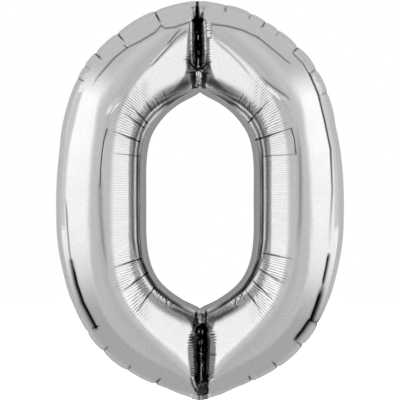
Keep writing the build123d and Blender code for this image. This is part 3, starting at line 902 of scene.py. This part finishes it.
def shade_fold(relief, view, mark):
    """Painted shade deep inside a fold and on the rolls beside it, with painted highlights on
    ridges, crests and crumples.
    """
    levels, *edges = np.array(mark["slot"]).T
    top = levels[0] < 0
    near = ((-view[2] > levels[0] - 4.32) & (-view[2] < levels[-1] + 4.32)
            & (np.abs(view[0]) < 60))
    x, down = view[0][near], -view[2][near]
    roll_l, core_l, core_r, roll_r = (np.interp(down, levels, edge) for edge in edges)
    ends = window(down, levels[0] - 3.24, levels[0], levels[-1], levels[-1] + 3.24)
    roll = window(x, roll_l - 1.08, roll_l + 1.08, roll_r - 1.08, roll_r + 1.08)
    core = window(x, core_l - 1.296, core_l + 1.08, core_r - 1.08, core_r + 1.296)
    rng = np.random.default_rng(mark["seed"])
    broken = np.interp(down, np.linspace(levels[0], levels[-1], 40), rng.uniform(0.35, 1.0, 40))
    # rolls painted darker, ridges beside the core painted lighter (painted highlights), the core
    # painted near black: painted shade in the fold
    strength, *reach = mark["ridges"]
    ridge = (np.exp(-((x - core_l + 3.672) / 1.62)**2)
             + np.exp(-((x - core_r - 3.456) / 1.836)**2)) * broken
    ridge = np.minimum(ridge, 1) * strength * window(down, *reach)
    level = 1 - 0.46 * roll
    level = level + (0.92 - level) * ridge
    deep = 0.05 + 0.24 * (1 - ease(np.minimum(x - core_l, core_r - x), 0.432, 5.616))
    level = level * (1 - core) + deep * core
    relief.tone[near] *= (1 - (1 - level) * ends)**2.2
    # painted highlights: spots and threads of painted light in the crumpled fold; the first nine
    # spots are the brightest
    painted_highlight = relief.painted_highlight[near]
    spots = mark["spots"] + [
        (rng.normal(*mark["loose_x"]), rng.uniform(levels[2] + 8.64, levels[-4] - 4.32),
         rng.uniform(0.756, 1.296), rng.uniform(1.08, 3.024))
        for _ in range(mark["loose_spots"])]
    for n, (at_x, at_down, half_w, half_h) in enumerate(spots):
        spot = np.exp(-((x - at_x) / half_w)**2 - ((down - at_down) / half_h)**2)
        painted_highlight = np.maximum(painted_highlight, (0.8 if n < 9 else 0.45) * spot)
    for at_x, start, end, half_w, bright in mark["threads"]:
        thread = (bright * np.exp(-((x - at_x) / half_w)**2)
                  * window(down, start, start + 5.4, end - 5.4, end))
        painted_highlight = np.maximum(painted_highlight, thread)
    # painted highlight along the crests of the rolls, fading into the painted dark
    strength, *reach = mark["crests"]
    crest = np.maximum(np.exp(-((x - core_l - 1.08) / 3.024)**2),
                       np.exp(-((x - core_r + 1.08) / 3.024)**2))
    crest = strength * crest * ends * window(down, *reach)
    painted_highlight = np.maximum(painted_highlight, np.maximum(crest, np.minimum(1.7 * ridge, 0.95) * ends))
    # painted highlight along the rim of the top fold
    if top:
        inside = np.minimum(x - roll_l, roll_r - x)
        rim = (0.72 * np.exp(-((inside + 1.08) / 1.728)**2)
               * window(down, -405, -398.52, -389.88, -386.64))
        painted_highlight = np.maximum(painted_highlight, rim)
    relief.painted_highlight[near] = painted_highlight
    # the ribs reach further out near the top edge of the balloon, or above the fold
    limit = roll_r + 7.776 * (down < -348.84)
    ribs = (window(x, roll_l - 2.16, roll_l + 1.08, limit + 1.08, limit + 3.888)
            * (1 - core) * np.interp(down, *mark["ribs"]))
    relief.rib[near] = np.maximum(relief.rib[near], ribs)


def draw_ribs(relief, P, seed):
    """Short ribs on the rolls beside the folds."""
    steps = np.linalg.norm(P - np.roll(P, 1, 1), axis=0)
    rng = np.random.default_rng(seed)
    length = run_length(P[:, 40].T)
    for fold, first in zip(FOLDS, (0, 2 * QUARTER)):
        flank = np.interp(ACROSS, FOLD_AT, fold["flank"])
        radius = np.interp(ACROSS, FOLD_AT, fold["radius"])
        for way in (1, -1):
            warp = np.interp(length, np.linspace(0, length[-1], 60),
                             np.cumsum(rng.uniform(0.5, 1.5, 60)))
            phase = 2 * np.pi * warp / warp[-1] * round(length[-1] / 7.5)
            strength = (np.interp(length, np.linspace(0, length[-1], 50),
                                  rng.uniform(0.2, 1.0, 50)) * ease(flank, 34, 50) * 0.7)
            run = np.zeros(P.shape[2])
            for i in range(90):
                column = (first + way * i) % COLUMNS
                if i:
                    run = run + steps[column if way > 0 else (column + 1) % COLUMNS]
                envelope = window(run, flank * 0.6, flank + 2,
                                  flank + radius * 1.4, flank + radius * 2.3)
                relief.offset[column] += 0.8 * strength * np.sin(phase + 0.25 * i) * envelope


def scallop(P, margin):
    """Outer edge drawn in at the pleats and bowed out between them."""
    edge = margin[[0, 2], :, -1]
    run = run_length(edge.T)
    full = run[-1] + np.linalg.norm(edge[:, 0] - edge[:, -1])
    stops = sorted((run[np.argmin(np.hypot(edge[0] - x, edge[1] - z))], strength)
                   for (x, z), _, strength in PLEATS)
    push = np.zeros(len(run))
    for i, (start, strength) in enumerate(stops):
        distance = np.abs((run - start + full / 2) % full - full / 2)
        push -= 2.6 * strength * np.exp(-(distance / 3.2)**1.2)
        gap = (stops[(i + 1) % len(stops)][0] - start) % full
        if gap < 110:
            f = ((run - start) % full) / gap
            between = f < 1
            push[between] += 2.0 * np.sin(np.pi * f[between])**0.7 * min(1, gap / 60)
    x, down = edge[0], -edge[1]
    push += 5.0 * window(down, -344.52, -288.36, -171.72, -93.96) * (x < -108)
    push += 2.6 * window(down, -335.88, -301.32, -193.32, -150.12) * (x > 108)
    push -= 3.0 * window(down, 359.64, 385.56, 409.32, 422.28)
    push += 3.4 * np.exp(-((x + 3.24) / 16.2)**2) * (down > 325.08)
    out = edge - P[[0, 2], :, -1]
    out /= np.linalg.norm(out, axis=0)
    weight = ease(ACROSS, 0.86, 1.0)
    for axis, move in zip((0, 2), out * push):
        P[axis] += move[:, None] * weight
        margin[axis] += move[:, None]


def dress(P, side, seed):
    """Panel with its relief, and the relief; side -1 front, +1 rear (marks mirrored)."""
    view = seen(P)
    relief = Relief(-side * view[0], view[2])
    draw_ripples(relief, P, seed)
    draw_lines(relief)
    for mark in FOLD_MARKS:
        shade_fold(relief, view, mark)
    draw_ribs(relief, P, seed + 20)
    out = P + outward_normals(P) * relief.offset[None]
    # room for the opened valve flaps just inside the lower seam
    up = out[2] + 416.9
    near = (np.abs(out[0]) < 22) & (up > -2) & (up < 114)
    room = (1.0 + 0.115 * np.clip(up[near], 0, 120)) * (1 - ease(np.abs(out[0][near]), 15, 22))
    out[1][near] = side * np.maximum(side * out[1][near], room)
    return out, relief


def pick_rows(P, relief):
    """PANEL_ROWS rows of the panel and its shades, closer together at bends."""
    fields = [*P, relief.tone, relief.rib, relief.painted_highlight, relief.phase, relief.ripple]
    n = outward_normals(P)
    bend = np.zeros(P.shape[1:])
    bend[:, 1:-1] = np.sqrt(((n[:, :, 2:] - n[:, :, :-2])**2).sum(0))
    step = np.linalg.norm(np.diff(P, axis=2), axis=0)
    step = np.c_[step, step[:, -1]]
    density = step * 0.5 / step.mean() + np.minimum(bend, 0.35) * 7.0 + 0.35
    density = blur(blur(density, 3, 1, closed=False), 14, 0)
    total = np.cumsum((density[:, 1:] + density[:, :-1]) / 2, 1)
    total = np.c_[np.zeros(len(total)), total]
    total /= total[:, -1:]
    wanted = np.linspace(0, 1, PANEL_ROWS + 1)
    rows = np.arange(P.shape[2])
    out = np.zeros((len(fields), P.shape[1], PANEL_ROWS + 1))
    for c in range(P.shape[1]):
        at = np.interp(wanted, total[c], rows)
        for field, picked in zip(fields, out):
            picked[c] = np.interp(at, rows, field[c])
    return out[:3], out[3:]


# the folds lean a little to -X at the top and to +X at the bottom
for part in (front, rear, hole_margin, outer_margin):
    lean = -3.9 * ease(part[2], 225, 300) + 3.7 * ease(-part[2], 250, 320)
    part[0] += lean * np.exp(-(part[0] / 60)**2)
for margin, edge in ((outer_margin, front[:, :, -1]), (hole_margin, front[:, :, 0])):
    margin[:, :, 0] = edge + (margin[:, :, 0] - edge) * 0.16
scallop(front, outer_margin)
gap = front[:, :, -1] - rear[:, :, -1]
for axis in (0, 2):
    rear[axis] += gap[axis][:, None] * ease(ACROSS, 0.86, 1.0)
front, front_shades = pick_rows(*dress(front, -1, 11))
rear, rear_shades = pick_rows(*dress(rear, 1, 12))


# ------------------------------------------------------------------ meshes
PLY = 0.45               # half distance between the plies at the margins


def quads(n, m, close_n=False, close_m=False):
    """Faces of an n by m grid."""
    i = np.arange(n if close_n else n - 1)[:, None]
    j = np.arange(m if close_m else m - 1)[None, :]
    ni, nj = (i + 1) % n, (j + 1) % m
    return np.stack([i * m + j, ni * m + j, ni * m + nj, i * m + nj], -1).reshape(-1, 4)


def flat(P):
    return np.moveaxis(P, 0, -1).reshape(-1, 3)


def make_mesh(name, points, faces, smooth=True):
    """Object from points in mm and quads."""
    mesh = bpy.data.meshes.new(name)
    count = len(faces)
    mesh.vertices.add(len(points))
    mesh.vertices.foreach_set("co", (points / 1000).astype(np.float32).ravel())
    mesh.loops.add(count * 4)
    mesh.loops.foreach_set("vertex_index", np.ascontiguousarray(faces, np.int32).ravel())
    mesh.polygons.add(count)
    mesh.polygons.foreach_set("loop_start", np.arange(count, dtype=np.int32) * 4)
    mesh.polygons.foreach_set("loop_total", np.full(count, 4, np.int32))
    mesh.polygons.foreach_set("use_smooth", np.full(count, smooth))
    mesh.update(calc_edges=True)
    mesh.validate()
    o = bpy.data.objects.new(name, mesh)
    bpy.context.scene.collection.objects.link(o)
    return o


def add_attribute(o, name, values):
    attribute = o.data.attributes.new(name, "FLOAT", "POINT")
    attribute.data.foreach_set("value", values.astype(np.float32).ravel())


def panel(name, P, shades, side):
    """One panel: hole margin, bulge, outer margin; side -1 front, +1 rear."""
    shift = np.array([0, side * PLY, 0])[:, None, None]
    rows = np.concatenate([hole_margin[:, :, ::-1] + shift, P, outer_margin + shift], 2)
    m = MARGIN_ROWS
    for seam_row in (m, -m - 1):
        rows[1, :, seam_row] += side * PLY
    faces = quads(*rows.shape[1:], close_n=True)
    o = make_mesh(name, flat(rows), faces[:, ::-1] if side > 0 else faces)
    for key, v in zip(("tone", "rib", "painted_highlight", "rip_phase", "rip"), shades):
        before = after = np.zeros((len(v), m))
        # tone (painted shade) in the margins: 0.60 on the hole margin; the outer margin carries
        # on the last row's painted shade, down to 0.08 at the top and 0.32 at the bottom; the
        # seam rows are darker
        if key == "tone":
            before = np.full((len(v), m), 0.60)
            darkest = np.where(P[2, :, -1:] > 0, 0.08, 0.32)
            after = np.repeat(np.clip(v[:, -1:], darkest, 1), m, 1)
        elif key == "rip_phase":
            before, after = np.repeat(v[:, :1], m, 1), np.repeat(v[:, -1:], m, 1)
        v = np.concatenate([before, v, after], 1)
        if key == "tone":
            v[:, m] = 0.50
            v[:, -m - 1] *= 0.80
        add_attribute(o, key, v)
    return o


def seal_band(name, edge, margin, share):
    """Thin closed band between the plies, from the seam to share of the last margin row."""
    a = edge * 0.98 + margin[:, :, 0] * 0.02
    b = margin[:, :, -1] * share + margin[:, :, -2] * (1 - share)
    half = np.array([0, PLY * 0.8, 0])[:, None]
    P = np.stack([a - half, b - half, b + half, a + half], 2)
    return make_mesh(name, flat(P), quads(P.shape[1], 4, True, True), smooth=False)


front_o = panel("front_panel", front, front_shades, -1)
rear_o = panel("rear_panel", rear, rear_shades, 1)
# narrower where the outer seal passes the tail's fold
tail_notch = np.exp(-(outer_margin[0, :, -1] / 24)**2) * (outer_margin[2, :, -1] < -380)
outer_seal = seal_band("outer_seal", front[:, :, -1], outer_margin, 0.94 - 0.44 * tail_notch)
hole_seal = seal_band("hole_seal", front[:, :, 0], hole_margin, 0.94)


def slab(P, thickness, closed=False):
    """Thin sheet with thickness round the middle surface P: points and quads."""
    n, m = P.shape[1:]
    half = unit_normals(P, closed) * thickness / 2
    under = n * m
    faces = quads(n, m, close_n=closed)
    out = [faces, faces[:, ::-1] + under]
    column = (np.arange(n + closed) % n) * m
    rims = [(column, False), (column + m - 1, True)]
    if not closed:
        rims += [(np.arange(m), True), ((n - 1) * m + np.arange(m), False)]
    for path, flip in rims:
        a, b = path[:-1], path[1:]
        rim = np.stack([a, a + under, b + under, b], -1)
        out.append(rim[:, ::-1] if flip else rim)
    return np.concatenate([flat(P + half), flat(P - half)]), np.concatenate(out)


def solid(name, pieces):
    """One mesh out of several (points, quads), normals outwards."""
    points, faces, count = [], [], 0
    for p, f in pieces:
        points.append(p)
        faces.append(f + count)
        count += len(p)
    o = make_mesh(name, np.concatenate(points), np.concatenate(faces))
    bm = bmesh.new()
    bm.from_mesh(o.data)
    bmesh.ops.recalc_face_normals(bm, faces=bm.faces)
    bm.to_mesh(o.data)
    bm.free()
    return o


def crinkle(a, b, seed, creases=16):
    """Creased height field over (a, b), about one unit high."""
    rng = np.random.default_rng(seed)
    h = np.zeros(np.broadcast(a, b).shape)
    for _ in range(creases):
        angle = rng.uniform(0, np.pi)
        width = rng.uniform(7, 22)
        phase = rng.uniform(0, 2 * np.pi)
        v = (a * np.cos(angle) + b * np.sin(angle)) / width + phase
        h = h + (np.abs(((v / np.pi) % 2) - 1) - 0.5) * rng.uniform(0.3, 1.0)
    return h / 2.6


# filling tail, folded up behind the balloon along an arc
TAIL_RADIUS, TAIL_START = 101.0, math.radians(5.0)
TAIL_HALF_WIDTH, TAIL_LENGTH = 17.0, 84.0
TAIL_FOLD_Z = -430.8
TAIL_PLY = 0.525         # half distance between the tail's plies
TAIL_Y = -TAIL_RADIUS * math.sin(TAIL_START)
TAIL_Z = TAIL_FOLD_Z + TAIL_RADIUS * math.cos(TAIL_START)


def tail_sheet(shift, runs, widths, thickness, hook=False):
    """Sheet of the tail, shift off its middle radius; hook rounds the fold at its foot."""
    S, X = np.meshgrid(runs, widths, indexing="ij")
    r = TAIL_RADIUS + shift + 0.30 * crinkle(S, X, 8) * ease(S, 2, 14)
    A = TAIL_START + S / TAIL_RADIUS
    P = np.stack([X, TAIL_Y + r * np.sin(A), TAIL_Z - r * np.cos(A)])
    if hook:
        X, A = np.meshgrid(widths, np.radians(np.linspace(110, -80, 10)))
        foot = np.stack([X, -0.34 * np.cos(A), TAIL_FOLD_Z + 0.34 * np.sin(A)])
        P = np.concatenate([foot, P], 1)
    return slab(P, thickness)


tail_widths = np.linspace(-TAIL_HALF_WIDTH, TAIL_HALF_WIDTH, 41)
tail_outer = solid("tail_outer", [tail_sheet(
    TAIL_PLY, np.linspace(0.6, TAIL_LENGTH, 110), tail_widths, 0.26, hook=True)])
tail_inner = solid("tail_inner", [tail_sheet(
    -TAIL_PLY, np.linspace(0.8, TAIL_LENGTH - 0.4, 108), tail_widths, 0.26)])
tail_seals = solid("tail_seals", [tail_sheet(
    0, np.linspace(0.8, TAIL_LENGTH - 0.2, 108), np.linspace(a, b, 6), 0.62)
    for a, b in ((-TAIL_HALF_WIDTH + 0.1, -13.4), (13.4, TAIL_HALF_WIDTH - 0.1))])
tail_tube = solid("tail_tube", [tail_sheet(
    shift, np.linspace(1.0, TAIL_LENGTH - 12, 96), np.linspace(-12.9, 12.9, 31), 0.10)
    for shift in (-0.19, 0.19)])

# hang tabs on the upper edge; x across the tab, z (tab: y) away from the hinge
TAB_HALF_WIDTH, TAB_LENGTH, TAB_CORNER = 12.0, 22.0, 4.0
TAB_HOLE_RADIUS, TAB_HOLE_AT = 2.5, 13.0


def tab_place(side, x, y, z, lift=0.0):
    """Points given in the tilted frame of a tab; side -1 at -X, +1 at +X."""
    origin, ex, ey, ez = (np.array(v)[:, None, None] for v in (
        (side * 74.529, lift, 414.234), (0.94942, 0, -0.314008 * side), (0, 1, 0),
        (0.314008 * side, 0, 0.94942)))
    return origin + ex * x + ey * y + ez * z


def tab(name, side):
    """Hang tab with its rolled hinge edge and a ring about the hole."""
    angle = np.linspace(0, 2 * np.pi, 120, endpoint=False)
    low, high = np.full(120, TAB_HOLE_RADIUS), np.full(120, 40.0)
    for _ in range(40):      # distance to the rounded outline, by halving
        r = (low + high) / 2
        x, y = r * np.cos(angle), TAB_HOLE_AT + r * np.sin(angle)
        over_x = np.abs(x) - (TAB_HALF_WIDTH - TAB_CORNER)
        over_y = y - (TAB_LENGTH - TAB_CORNER)
        cut = (over_x > 0) & (over_y > 0) & (np.hypot(over_x, over_y) > TAB_CORNER)
        inside = (np.abs(x) < TAB_HALF_WIDTH) & (y > 0.2) & (y < TAB_LENGTH) & ~cut
        low, high = np.where(inside, r, low), np.where(inside, high, r)
    f = np.linspace(0, 1, 16)**1.15
    r = TAB_HOLE_RADIUS + (low[:, None] - TAB_HOLE_RADIUS) * f[None, :]
    x, y = r * np.cos(angle)[:, None], TAB_HOLE_AT + r * np.sin(angle)[:, None]
    z = (0.10 * crinkle(x, y, 17 + (side > 0), 10) * ease(y, 1, 6)
         + 0.12 * np.exp(-((r - 4.6) / 0.5)**2))
    sheet = slab(tab_place(side, x, y, z, lift=1.95), 0.5, closed=True)
    n, m = 40, 12
    a = np.linspace(0, 2 * np.pi, m + 1)[:m]
    u = np.linspace(-TAB_HALF_WIDTH, TAB_HALF_WIDTH, n)[:, None]
    radius = 0.36 + 0.03 * np.sin(u * 2.1)
    hinge = tab_place(side, u, radius * np.cos(a), radius * np.sin(a), lift=1.95)
    caps = [[b + c, b + c + 1, b + m - 2 - c, b + m - 1 - c]
            for b in (0, (n - 1) * m) for c in range(m // 2 - 1)]
    return solid(name, [sheet, (flat(hinge), np.r_[quads(n, m, close_m=True), caps])])


def feet(name):
    """Strips below the hinges, behind the balloon's edge."""
    out = []
    for side in (-1, 1):
        x, z = np.meshgrid(np.linspace(-12, 12, 40), np.linspace(-7.6, -0.6, 14), indexing="ij")
        y = 1.02 + 0.05 * crinkle(x, z, 40 + side, 8)
        out.append(slab(tab_place(side, x, y, z), 0.8))
    return solid(name, out)


tab_left = tab("tab_left", -1)
tab_right = tab("tab_right", 1)
tab_feet = feet("tab_feet")


# ------------------------------------------------------------------ materials
def feed(node, inputs):
    """Set a node's inputs to values, or link them to sockets."""
    for key, value in inputs.items():
        if isinstance(value, bpy.types.NodeSocket):
            node.id_data.links.new(value, node.inputs[key])
        else:
            node.inputs[key].default_value = value


def add(tree, kind, inputs={}, out=0, **settings):
    """New shader node; gives back its output out."""
    node = tree.nodes.new("ShaderNode" + kind)
    for key, value in settings.items():
        setattr(node, key, value)
    feed(node, inputs)
    return node.outputs[out]


def maths(tree, operation, *values):
    return add(tree, "Math", dict(enumerate(values)), operation=operation)


def grey(tree, value):
    return add(tree, "CombineColor", dict.fromkeys(("Red", "Green", "Blue"), value))


def smooth_range(tree, value, low, high, **to):
    """Smooth step of a socket; to holds From/To limits by name."""
    return add(tree, "MapRange", {"From Min": low, "From Max": high, "Value": value, **to},
               interpolation_type="SMOOTHSTEP")


def new_material(name):
    material = bpy.data.materials.new(name)
    material.use_nodes = True
    return material, material.node_tree, material.node_tree.nodes["Principled BSDF"]


def panel_shades(tree, place, grain, colour, shader):
    """Painted shade (tone), ribs, ripples and painted highlights of the panels; gives back the
    bump height.
    """
    def attribute(name):
        return add(tree, "Attribute", out="Fac", attribute_name=name)

    def noise_at(scale, detail):
        return add(tree, "TexNoise", {"Scale": scale, "Detail": detail, "Vector": place})
    # short ribs on the rolls beside the folds: waves along z, broken up in patches; painted as
    # light and dark stripes in the colour, and bumped
    z = add(tree, "SeparateXYZ", {0: place}, out="Z")
    bend = maths(tree, "MULTIPLY", noise_at(45.0, 2.0), 16.0)
    wave = maths(tree, "SINE", maths(tree, "MULTIPLY_ADD", z, 1150.0, bend))
    patches = add(tree, "MapRange", {"From Min": 0.38, "From Max": 0.62,
                                     "Value": noise_at(38.0, 1.0)})
    ribs = maths(tree, "MULTIPLY", maths(tree, "MULTIPLY", wave, patches), attribute("rib"))
    shade = maths(tree, "MULTIPLY", attribute("tone"),
                  maths(tree, "MULTIPLY_ADD", ribs, 0.85, 1.0))
    # fine ripples beside the hole: narrow furrows darkened with painted shade between flat
    # lands, and bumped
    furrow = maths(tree, "COSINE", attribute("rip_phase"))
    furrow = maths(tree, "POWER", maths(tree, "MULTIPLY_ADD", furrow, 0.5, 0.5), 3.0)
    furrow = maths(tree, "MULTIPLY", furrow, attribute("rip"))
    shade = maths(tree, "MULTIPLY", shade, maths(tree, "MULTIPLY_ADD", furrow, -0.85, 1.0))
    # painted highlights: bright, less metallic colour laid over the painted shade
    painted_highlight = attribute("painted_highlight")
    shade = maths(tree, "MAXIMUM", shade, painted_highlight)
    # film darkened by painted shade stays dark at a grazing angle too
    edge = add(tree, "MapRange", {"From Max": 0.8, "Value": shade})
    feed(shader, {
        "Metallic": maths(tree, "MULTIPLY_ADD", painted_highlight, -0.85, 1.0),
        "Base Color": add(tree, "VectorMath", {0: colour, 1: shade}, operation="MULTIPLY"),
        "Specular Tint": grey(tree, edge)})
    height = maths(tree, "MULTIPLY_ADD", ribs, 1.5, grain)
    return maths(tree, "MULTIPLY_ADD", furrow, -0.6, height)


def foil_material(name, base=0.90, rough=0.09, toned=False):
    """Metal film with broad haze and fine grain; toned adds the panels' painted shade, painted
    highlights, ribs and ripples.
    """
    material, tree, shader = new_material(name)
    place = add(tree, "TexCoord", out="Object")
    haze = add(tree, "TexNoise", {"Scale": 9.0, "Detail": 3.0, "Vector": place})
    grain = add(tree, "TexNoise", {"Scale": 480.0, "Detail": 2.0, "Vector": place})
    haze = add(tree, "MapRange", {"From Min": 0.3, "From Max": 0.7, "To Min": rough * 0.8,
                                  "To Max": rough * 1.35, "Value": haze})
    colour = add(tree, "ValToRGB", {"Fac": grain})
    dark, light = colour.node.color_ramp.elements
    dark.position = 0.35
    dark.color = (base * 0.87, base * 0.873, base * 0.876, 1)
    light.position = 0.65
    light.color = (base, base, base * 1.003, 1)
    feed(shader, {"Metallic": 1.0, "Roughness": maths(tree, "MULTIPLY_ADD", grain, 0.05, haze)})
    if toned:
        height = panel_shades(tree, place, grain, colour, shader)
    else:
        height = grain
        feed(shader, {"Base Color": colour})
    feed(shader, {"Normal": add(tree, "Bump", {
        "Strength": 0.32, "Distance": 0.0004, "Height": height})})
    return material


def film_material(name, colour, alpha):
    """Plastic film of uneven gloss."""
    material, tree, shader = new_material(name)
    patches = add(tree, "TexNoise", {"Scale": 60, "Vector": add(tree, "TexCoord", out="Object")})
    gloss = add(tree, "MapRange", {"To Min": 0.15, "To Max": 0.4, "Value": patches})
    feed(shader, {"Roughness": gloss, "Base Color": (*colour, 1), "Alpha": alpha})
    return material


FOIL = foil_material("silver_foil", toned=True)
PLAIN_FOIL = foil_material("silver_foil_tail", base=0.86, rough=0.12)
SEAL = film_material("seal_layer", colour=(0.60, 0.61, 0.62), alpha=1.0)
FILM = film_material("valve_film", colour=(0.86, 0.88, 0.90), alpha=0.55)

# object, piece it replaces, material, slot, body it rides
for o, piece, material, slot, body in (
        (front_o, "front_foil_panel", FOIL, "silver_foil", "balloon"),
        (rear_o, "rear_foil_panel", FOIL, "silver_foil", "balloon"),
        (outer_seal, "outer_heat_seal", SEAL, "seal_layer", "balloon"),
        (hole_seal, "hole_heat_seal", SEAL, "seal_layer", "balloon"),
        (tail_outer, "fill_tail_outer_ply", PLAIN_FOIL, "silver_foil", "fill_tail"),
        (tail_inner, "fill_tail_inner_ply", PLAIN_FOIL, "silver_foil", "fill_tail"),
        (tail_seals, "fill_tail_side_seals", SEAL, "seal_layer", "fill_tail"),
        (tail_tube, "valve_tail_tube", FILM, "valve_film", "fill_tail"),
        (tab_left, "hang_tab_left", PLAIN_FOIL, "silver_foil", "tab_left"),
        (tab_right, "hang_tab_right", PLAIN_FOIL, "silver_foil", "tab_right"),
        (tab_feet, "hang_tab_feet", PLAIN_FOIL, "silver_foil", "balloon")):
    o.data.materials.append(material)
    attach(o, body)
    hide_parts(piece)

# pieces kept from the CAD model
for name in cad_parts:
    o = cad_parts[name]
    if o.hide_render:
        continue
    material = FILM if name.startswith("valve") else (SEAL if "seal" in name else PLAIN_FOIL)
    for material_slot in o.material_slots:
        material_slot.material = material

# ------------------------------------------------------------------ studio
scene = bpy.context.scene
scene.view_settings.view_transform = "Standard"
scene.view_settings.look = "None"
# brightness of the reflected surroundings: behind the camera above and below the
# horizon, all round, and behind the balloon
FRONT_UP, FRONT_DOWN, RING, BACK = 0.67, 0.53, 1.02, 0.66


def build_world():
    """White to the camera, shaded greys in reflections."""
    world = bpy.data.worlds.new("studio")
    scene.world = world
    world.use_nodes = True
    tree = world.node_tree

    def op(operation, *values):
        return maths(tree, operation, *values)

    def less(value):
        return op("SUBTRACT", 1.0, value)

    def step(value, low, high):
        return smooth_range(tree, value, low, high)
    direction = add(tree, "TexCoord", out="Generated")
    x, y, z = add(tree, "SeparateXYZ", {0: direction}).node.outputs
    frontal = less(step(y, -0.92, -0.78))       # cone about the camera
    backward = step(y, 0.35, 0.62)
    front_value = op("ADD", op("MULTIPLY", step(z, -0.35, 0.35), FRONT_UP - FRONT_DOWN),
                     FRONT_DOWN)
    # narrow upright darker strip about the camera
    strip = less(step(op("ABSOLUTE", x), 0.015, 0.07))
    strip = op("MULTIPLY", strip, less(step(op("ABSOLUTE", z), 0.12, 0.40)))
    front_value = op("MULTIPLY", front_value, less(op("MULTIPLY", strip, 0.20)))
    # brighter belt just above the horizon
    belt = op("MULTIPLY", step(z, -0.02, 0.16), less(step(z, 0.32, 0.50)))
    ring = op("MULTIPLY_ADD", belt, 0.13, RING)
    rest = op("ADD", op("MULTIPLY", less(backward), ring), op("MULTIPLY", backward, BACK))
    value = op("ADD", op("MULTIPLY", frontal, front_value), op("MULTIPLY", less(frontal), rest))
    reflected = tree.nodes["Background"]
    feed(reflected, {0: grey(tree, value)})
    white = add(tree, "Background", {0: (1, 1, 1, 1), 1: 1.0})
    mix = add(tree, "MixShader", {0: add(tree, "LightPath", out="Is Camera Ray"),
                                  1: reflected.outputs[0], 2: white})
    feed(tree.nodes["World Output"], {"Surface": mix})


def reflected_only(o, strength):
    """Glowing material seen only in reflections; strength(tree) gives its socket."""
    material, tree, shader = new_material(o.name)
    tree.nodes.remove(shader)
    feed(tree.nodes["Material Output"], {
        "Surface": add(tree, "Emission", {"Strength": strength(tree)})})
    o.data.materials.append(material)
    o.visible_camera = False
    o.visible_shadow = False
    o.visible_diffuse = False


def by_distance(tree, low, high, **to):
    return smooth_range(tree, add(tree, "LightPath", out="Ray Length"), low, high, **to)


def hood_strength(tree):
    """Grey for the near flank, white for film on the far side of the hole."""
    value = add(tree, "Attribute", out="Fac", attribute_name="val")
    return add(tree, "Mix", {"B": 1.0, "Factor": by_distance(tree, 0.74, 0.82), "A": value},
               data_type="FLOAT")


def hood(name, up, left, right, soft, value, front_value):
    """Curved grey panel over (up 1) or under (-1) the figure, white at its edges.
    left, right and soft are angles in degrees."""
    radius, y0, y1 = 580, -850, 600
    A = np.radians(np.linspace(-left, left, 60))[:, None]
    Y = np.linspace(y0, y1, 30)[None, :]
    P = np.stack(np.broadcast_arrays(np.sin(A) * radius, Y, up * np.cos(A) * radius))
    o = make_mesh(name, flat(P), quads(60, 30))
    soft = math.radians(soft)
    sides = ease(math.radians(left) + A, 0, soft) * ease(math.radians(right) - A, 0, soft)
    level = front_value + (value - front_value) * ease(Y, y0, y0 + 70)
    add_attribute(o, "val", 1.0 + (level - 1.0) * sides)
    reflected_only(o, hood_strength)


def sheet_object(name, corners):
    mesh = bpy.data.meshes.new(name)
    mesh.from_pydata(corners, [], [(0, 1, 2, 3)])
    o = bpy.data.objects.new(name, mesh)
    scene.collection.objects.link(o)
    return o


build_world()
hood("hood_above", up=1, left=56, right=56, soft=12, value=0.58, front_value=0.64)
hood("hood_below", up=-1, left=83, right=79, soft=33, value=0.44, front_value=0.52)
card = sheet_object("card_behind", [(x, 0.30, z) for x, z in (
    (-0.20, -0.36), (0.20, -0.36), (0.20, 0.36), (-0.20, 0.36))])
reflected_only(card, lambda tree: by_distance(
    tree, 0.34, 0.42, **{"To Min": 0.75, "To Max": 0.10}))

# pale floor, low enough for the unfolded tail to hang free
FLOOR_Z = CAD_BOX[0][2] - 0.105
floor = sheet_object("floor", [(x, y, FLOOR_Z) for x, y in ((-6, -6), (6, -6), (6, 6), (-6, 6))])
material, _, shader = new_material("floor")
feed(shader, {"Base Color": (0.9, 0.9, 0.9, 1), "Roughness": 0.9,
              "Emission Color": (1, 1, 1, 1), "Emission Strength": 0.75})
floor.data.materials.append(material)
floor.visible_glossy = False

# ------------------------------------------------------------------ camera
VIEW_WIDTH = 0.864       # m, seen at the plane of the seams
camera = bpy.data.cameras.new("camera")
camera_o = bpy.data.objects.new("camera", camera)
scene.collection.objects.link(camera_o)
camera_o.location = (0, -CAMERA_DISTANCE, -0.0005)
camera_o.rotation_euler = (math.pi / 2, 0, 0)
camera.sensor_width = 36
camera.lens = 36 * CAMERA_DISTANCE / VIEW_WIDTH
camera.clip_end = 50
scene.camera = camera_o
